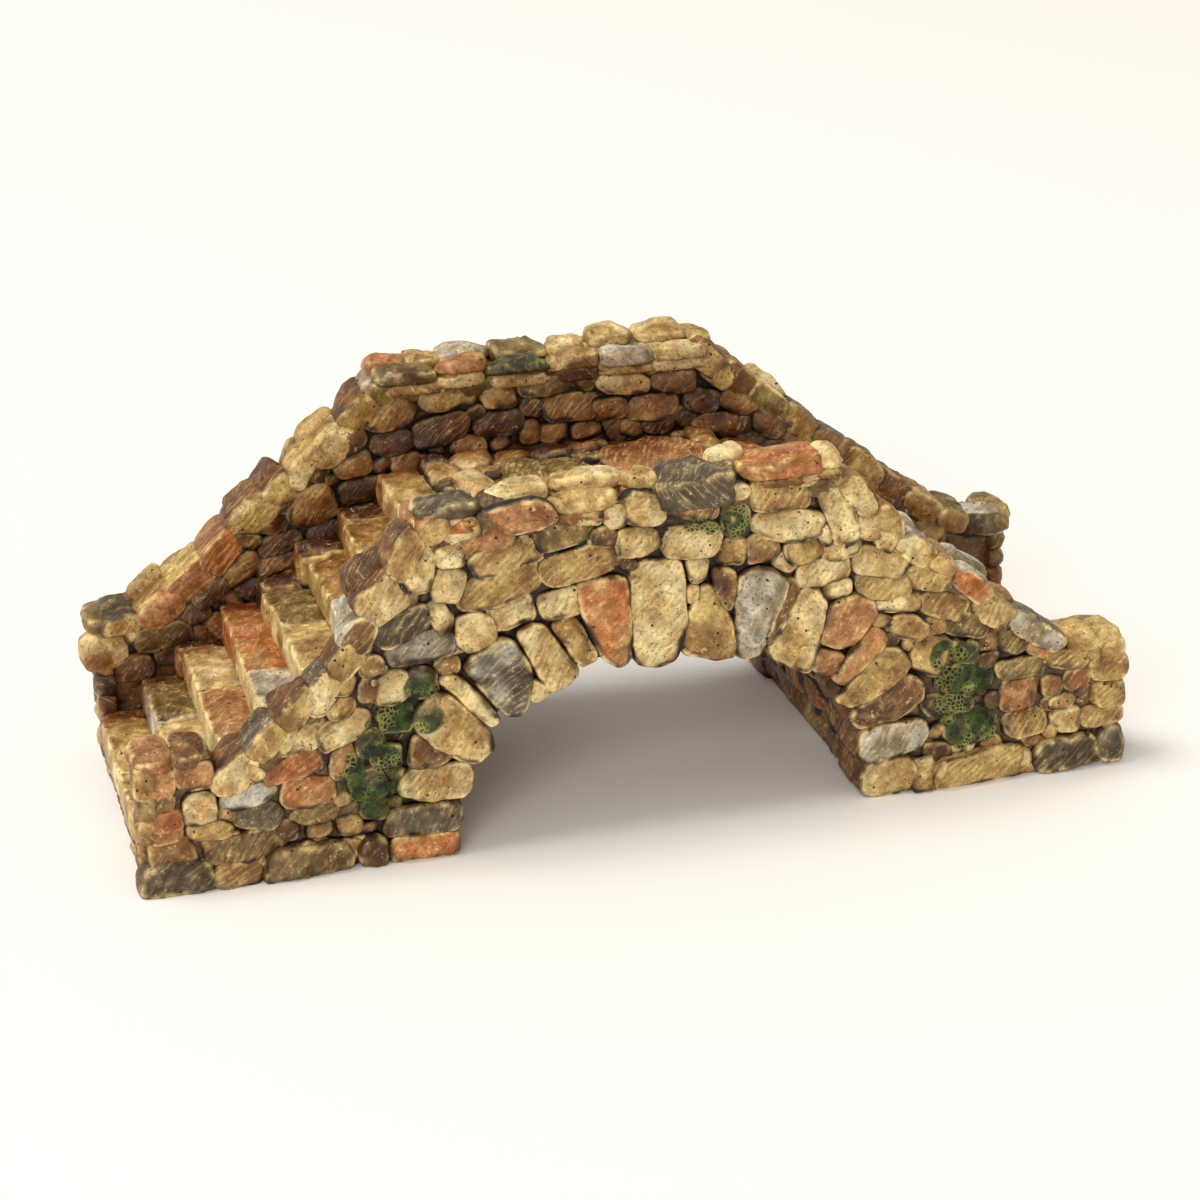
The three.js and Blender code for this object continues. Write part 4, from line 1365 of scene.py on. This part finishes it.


# brown of the paint wash, which also paints the shade in low places and joints
WASH_SHADE_BROWN = srgb(72, 44, 20)
DEEP_WASH_SHADE_BROWN = srgb(30, 17, 8)
DRY_BRUSH = srgb(234, 214, 164)
FLECKS = srgb(240, 228, 190)
HONEY_STAIN = srgb(204, 172, 110)
GRAIN_WASH = srgb(106, 76, 38)
STREAK_WASH = srgb(112, 78, 40)
MARK_WASH = srgb(104, 74, 40)
PIN_HOLE = srgb(34, 20, 10)
MOSS_GREEN = srgb(78, 102, 30)
MOSS_DARK = srgb(34, 42, 16)
MOSS_PALE = srgb(164, 160, 104)
VARNISH_DEPTH = 1.42  # exponent that deepens the dark paint and the warm colours
VARNISH_GAIN = (1.48, 1.50, 1.52)


def brushed_paint(g, paint, fine, mottle, broad, wash, wear):
    """Mottled paint, with the wash left in its fine grain and pale flecks on it."""
    value = g.plus(g.scaled(mottle, 1.15, 0.08), g.times(fine, 0.60))
    grey = g.add("ShaderNodeCombineColor", {0: value, 1: value, 2: value}).outputs[0]
    colour = g.mix(1.0, paint, grey, "MULTIPLY")
    colour = g.mix(g.times(g.step(broad, 0.42, 0.7), 0.55 * wash), colour, HONEY_STAIN, "MULTIPLY")
    colour = g.mix(g.times(g.step(fine, 0.50, 0.64), 0.52 * wash), colour, GRAIN_WASH)
    flecks = g.times(g.step(fine, 0.44, 0.34), g.step(mottle, 0.44, 0.62))
    return g.mix(g.times(flecks, 0.5 * wear), colour, FLECKS)


def filed(g, colour, strokes, mottle, broad):
    """Brush strokes along the file marks, and the marks: pale ridges with brown paint between them."""
    along = g.times(strokes["Z"], 0.2)
    lengthwise = g.add("ShaderNodeCombineXYZ", {"X": strokes["X"], "Y": along, "Z": broad}).outputs[0]
    streak = g.noise(1.5, 4, 0.65, lengthwise)
    colour = g.mix(g.times(g.step(streak, 0.52, 0.72), 0.26), colour, DRY_BRUSH)
    colour = g.mix(g.times(g.step(streak, 0.46, 0.30), 0.36), colour, STREAK_WASH)
    phase = g.plus(g.times(strokes["X"], 2 * math.pi / MARK_SPACING), g.times(streak, 9.0))
    ridge = g.times(g.maths("SINE", phase), -1.0)
    patchy = g.times(strokes["Y"], g.step(mottle, 0.36, 0.62))
    colour = g.mix(g.times(g.times(g.step(ridge, 0.55, 1.0), patchy), 0.32), colour, DRY_BRUSH)
    colour = g.mix(g.times(g.times(g.step(ridge, -0.3, -0.95), patchy), 0.30), colour, MARK_WASH)
    return colour, streak, g.times(ridge, patchy)


def washed_and_brushed(g, colour, wash_and_shade, edge, mottle, wash, wear):
    """Dark wash and painted shade, broken up by the grain, and a dry brush on the shoulders."""
    broken = g.scaled(mottle, 1.1, -0.55)
    darkness = g.plus(g.times(wash_and_shade, 1.15 * wash), g.times(broken, 0.45))
    colour = g.mix(g.step(darkness, 0.12, 0.95), colour, WASH_SHADE_BROWN)
    colour = g.mix(g.times(g.step(darkness, 0.62, 1.15), 0.9), colour, DEEP_WASH_SHADE_BROWN)
    brushed = g.times(edge, g.step(mottle, 0.30, 0.62))
    return g.mix(g.times(brushed, 0.78 * wear), colour, DRY_BRUSH)


def mossy(g, colour, moss, wash_and_shade, place, mottle):
    """Moss: a honeycomb of pale walls, green between them and black holes."""
    voronoi = {"Vector": place, "Scale": 1500.0, "Randomness": 0.9}
    cells = g.add("ShaderNodeTexVoronoi", voronoi, feature="DISTANCE_TO_EDGE").outputs["Distance"]
    wall = g.step(cells, 0.16, 0.05)
    hole = g.step(cells, 0.26, 0.38)
    moss_colour = g.mix(g.step(mottle, 0.35, 0.65), MOSS_DARK, MOSS_GREEN)
    porous = g.step(g.noise(210, 2, 0.5, place), 0.47, 0.60)
    moss_colour = g.mix(g.times(wall, g.times(porous, 0.8)), moss_colour, MOSS_PALE)
    moss_colour = g.mix(g.times(hole, g.times(porous, 0.95)), moss_colour, DEEP_WASH_SHADE_BROWN)
    moss_share = g.step(g.plus(moss, g.scaled(mottle, 0.6, -0.3)), 0.35, 0.65)
    cover = g.times(moss_share, g.minus(1.0, g.times(wash_and_shade, 0.75)))
    return g.mix(cover, colour, moss_colour), moss_share, hole


def pin_holes(g, place, broad, pit_amount):
    """Holes left by bubbles in the mould, larger ones alone and small ones in clusters."""
    pit = None
    for scale, rarity in ((800.0, 0.90), (1500.0, 0.84)):
        bubbles = g.add("ShaderNodeTexVoronoi", {"Vector": place, "Scale": scale, "Randomness": 1.0})
        chance = g.add("ShaderNodeSeparateColor", {"Color": bubbles.outputs["Color"]}).outputs["Red"]
        crowd = g.times(g.step(broad, 0.42, 0.62), g.times(pit_amount, 0.36))
        present = g.step(g.plus(chance, crowd), rarity, rarity + 0.05)
        dots = g.times(g.step(bubbles.outputs["Distance"], 0.19, 0.10), present)
        pit = dots if pit is None else g.maths("MAXIMUM", pit, dots)
    return pit


def resin_material(name, roughness=0.5, wash=1.0, wear=1.0):
    """Painted resin: the stone's own paint, a dark wash with painted shade in its low places and a dry brush
    on its edges.
    """
    material = bpy.data.materials.new(name)
    material.use_nodes = True
    g = Graph(material)
    shader = g.tree.nodes["Principled BSDF"]
    place = g.add("ShaderNodeTexCoord", {}).outputs["Object"]
    paint = g.add("ShaderNodeAttribute", {}, attribute_name="paint").outputs["Color"]
    marks_node = g.add("ShaderNodeAttribute", {}, attribute_name="marks")
    marks = g.add("ShaderNodeSeparateColor", {"Color": marks_node.outputs["Color"]})
    # the green channel of marks is the dark wash with painted shade
    edge, wash_and_shade, moss = marks.outputs["Red"], marks.outputs["Green"], marks.outputs["Blue"]
    strokes_node = g.add("ShaderNodeAttribute", {}, attribute_name="strokes")
    strokes = g.add("ShaderNodeSeparateXYZ", {"Vector": strokes_node.outputs["Vector"]}).outputs
    fine = g.noise(1900, 5, 0.6, place)
    mottle = g.noise(520, 4, 0.6, place)
    broad = g.noise(150, 3, 0.5, place)

    colour = brushed_paint(g, paint, fine, mottle, broad, wash, wear)
    colour, streak, filing = filed(g, colour, strokes, mottle, broad)
    colour = washed_and_brushed(g, colour, wash_and_shade, edge, mottle, wash, wear)
    colour, moss_share, hole = mossy(g, colour, moss, wash_and_shade, place, mottle)
    pit = pin_holes(g, place, broad, marks_node.outputs["Alpha"])
    colour = g.mix(g.times(pit, 0.92), colour, PIN_HOLE)
    deeper = g.add("ShaderNodeGamma", {"Color": colour, "Gamma": VARNISH_DEPTH}).outputs["Color"]
    g.feed(shader.inputs["Base Color"], g.mix(1.0, deeper, VARNISH_GAIN, "MULTIPLY"))

    gloss = g.scaled(mottle, 0.22, roughness - 0.11)
    g.feed(shader.inputs["Roughness"], g.plus(gloss, g.times(moss_share, 0.2), clamp=True))
    shader.inputs["Specular IOR Level"].default_value = 0.42

    height = g.plus(g.times(fine, 0.35), g.times(mottle, 0.5))
    height = g.plus(height, g.times(filing, 0.25))
    height = g.plus(height, g.times(streak, 0.8))
    height = g.minus(height, g.times(pit, 1.3))
    height = g.minus(height, g.times(g.times(hole, moss_share), 1.1))
    relief = g.add("ShaderNodeBump", {"Height": height, "Strength": 0.85, "Distance": 0.0003})
    g.feed(shader.inputs["Normal"], relief.outputs["Normal"])
    return material


# ---------------------------------------------------------------- building the bridge

def make_pieces():
    """Every visual piece, by the name of its CAD node, except that a wall's node also ends in _masonry."""
    rng = np.random.default_rng(20)
    pieces = {}
    for side in ("front", "rear"):
        pieces[f"{side}_wall"] = Piece(f"{side}_wall_masonry_cast")
        for end in ("left", "right"):
            pieces[f"{side}_{end}_footing"] = Piece(f"{side}_{end}_footing_cast")
            pieces[f"{side}_{end}_end_post"] = Piece(f"{side}_{end}_end_post_cast")
    lay_front_wall(pieces, rng)
    lay_rear_wall(pieces, rng)
    lay_coping(pieces, "front", FRONT_FACE, FRONT_INNER_FACE, FRONT_SLOPE_COPING, FRONT_CAPS, front_top, rng)
    lay_coping(pieces, "rear", REAR_INNER_FACE, REAR_FACE, REAR_SLOPE_COPING, REAR_CAPS, rear_top, rng)
    lay_ends(pieces, rng)
    lay_stairs(pieces, rng)
    lay_deck(pieces, rng)
    lay_core(pieces, rng)
    for side, *wall_shape in (("front", front_top, FRONT_FACE, FRONT_INNER_FACE),
                              ("rear", rear_top, REAR_INNER_FACE, REAR_FACE)):
        parts = ("wall", "left_footing", "left_end_post", "right_footing", "right_end_post")
        outlines = [outline for part in parts for outline in pieces[f"{side}_{part}"].outlines]
        wall_mortar(pieces[f"{side}_wall"], outlines, *wall_shape)
    return pieces


def build_bridge():
    # the rear and vault pieces get more dark wash with painted shade and less dry brush, the treads less
    # wash and more dry brush
    materials = {
        "wall": resin_material("painted_resin_wall"),
        "tread": resin_material("painted_resin_tread", roughness=0.46, wash=0.8, wear=1.1),
        "rear": resin_material("painted_resin_rear", roughness=0.44, wash=1.15, wear=0.7),
    }
    slot_of = {entry["node"]: entry["material_slot"] for entry in frame["record"]["subparts"]}
    for name, piece in make_pieces().items():
        cad = f"{name}_masonry" if name.endswith("_wall") else name
        kind = "wall"
        if "tread" in name or "landing" in name or "deck" in name:
            kind = "tread"
        elif name.startswith("rear") or name == "vaulted_core":
            kind = "rear"
        piece.build(materials[kind], slot_of[cad], cad)


# ---------------------------------------------------------------- floor, light and camera

def plain_floor_plane():
    mesh = bpy.data.meshes.new("floor")
    reach = 6.0
    mesh.from_pydata([(-reach, -reach, 0), (reach, -reach, 0), (reach, reach, 0), (-reach, reach, 0)], [],
                     [(0, 1, 2, 3)])
    floor = bpy.data.objects.new("floor", mesh)
    bpy.context.collection.objects.link(floor)
    material = bpy.data.materials.new("pale_floor")
    material.use_nodes = True
    shader = material.node_tree.nodes["Principled BSDF"]
    shader.inputs["Base Color"].default_value = (0.95, 0.92, 0.88, 1)
    shader.inputs["Roughness"].default_value = 0.9
    floor.data.materials.append(material)


def area_light(name, place, target, size, power, colour):
    data = bpy.data.lights.new(name, "AREA")
    data.shape = "DISK"
    data.size = size
    data.energy = power
    data.color = colour
    light = bpy.data.objects.new(name, data)
    light.location = place
    light.rotation_euler = (Vector(target) - Vector(place)).to_track_quat("-Z", "Y").to_euler()
    bpy.context.collection.objects.link(light)


def light_scene():
    middle = (0, 0, 0.03)
    area_light("key", (-1.4, 0.2, 3.0), middle, 1.6, 62, (1.0, 0.99, 0.97))
    area_light("fill", (-1.8, -3.0, 1.8), middle, 2.0, 53, (1.0, 0.99, 0.97))
    world = bpy.data.worlds.new("studio")
    world.use_nodes = True
    background = world.node_tree.nodes["Background"]
    background.inputs["Color"].default_value = (1.0, 0.94, 0.87, 1)
    background.inputs["Strength"].default_value = 0.56
    bpy.context.scene.world = world


CAMERA_TARGET = Vector((0.12, 0.0, 25.59)) * MM
CAMERA_DISTANCE = 454.3 * MM
CAMERA_AZIMUTH = -15.66  # degrees round the bridge, towards its left end
CAMERA_ELEVATION = 22.52
CAMERA_ROLL = -0.65
CAMERA_LENS = 88.9


def add_camera():
    azimuth, elevation = math.radians(CAMERA_AZIMUTH), math.radians(CAMERA_ELEVATION)
    back = Vector((math.sin(azimuth) * math.cos(elevation), -math.cos(azimuth) * math.cos(elevation),
                   math.sin(elevation)))
    right = Vector((math.cos(azimuth), math.sin(azimuth), 0))
    up = back.cross(right)
    roll = math.radians(CAMERA_ROLL)
    rolled_right = right * math.cos(roll) + up * math.sin(roll)
    rolled_up = up * math.cos(roll) - right * math.sin(roll)
    data = bpy.data.cameras.new("camera")
    data.lens = CAMERA_LENS
    data.sensor_width = 36
    camera = bpy.data.objects.new("camera", data)
    rotation = Matrix((rolled_right, rolled_up, back)).transposed()
    camera.matrix_world = Matrix.Translation(CAMERA_TARGET + back * CAMERA_DISTANCE) @ rotation.to_4x4()
    bpy.context.collection.objects.link(camera)
    bpy.context.scene.camera = camera


build_bridge()
plain_floor_plane()
light_scene()
add_camera()
bpy.context.scene.view_settings.view_transform = "Standard"
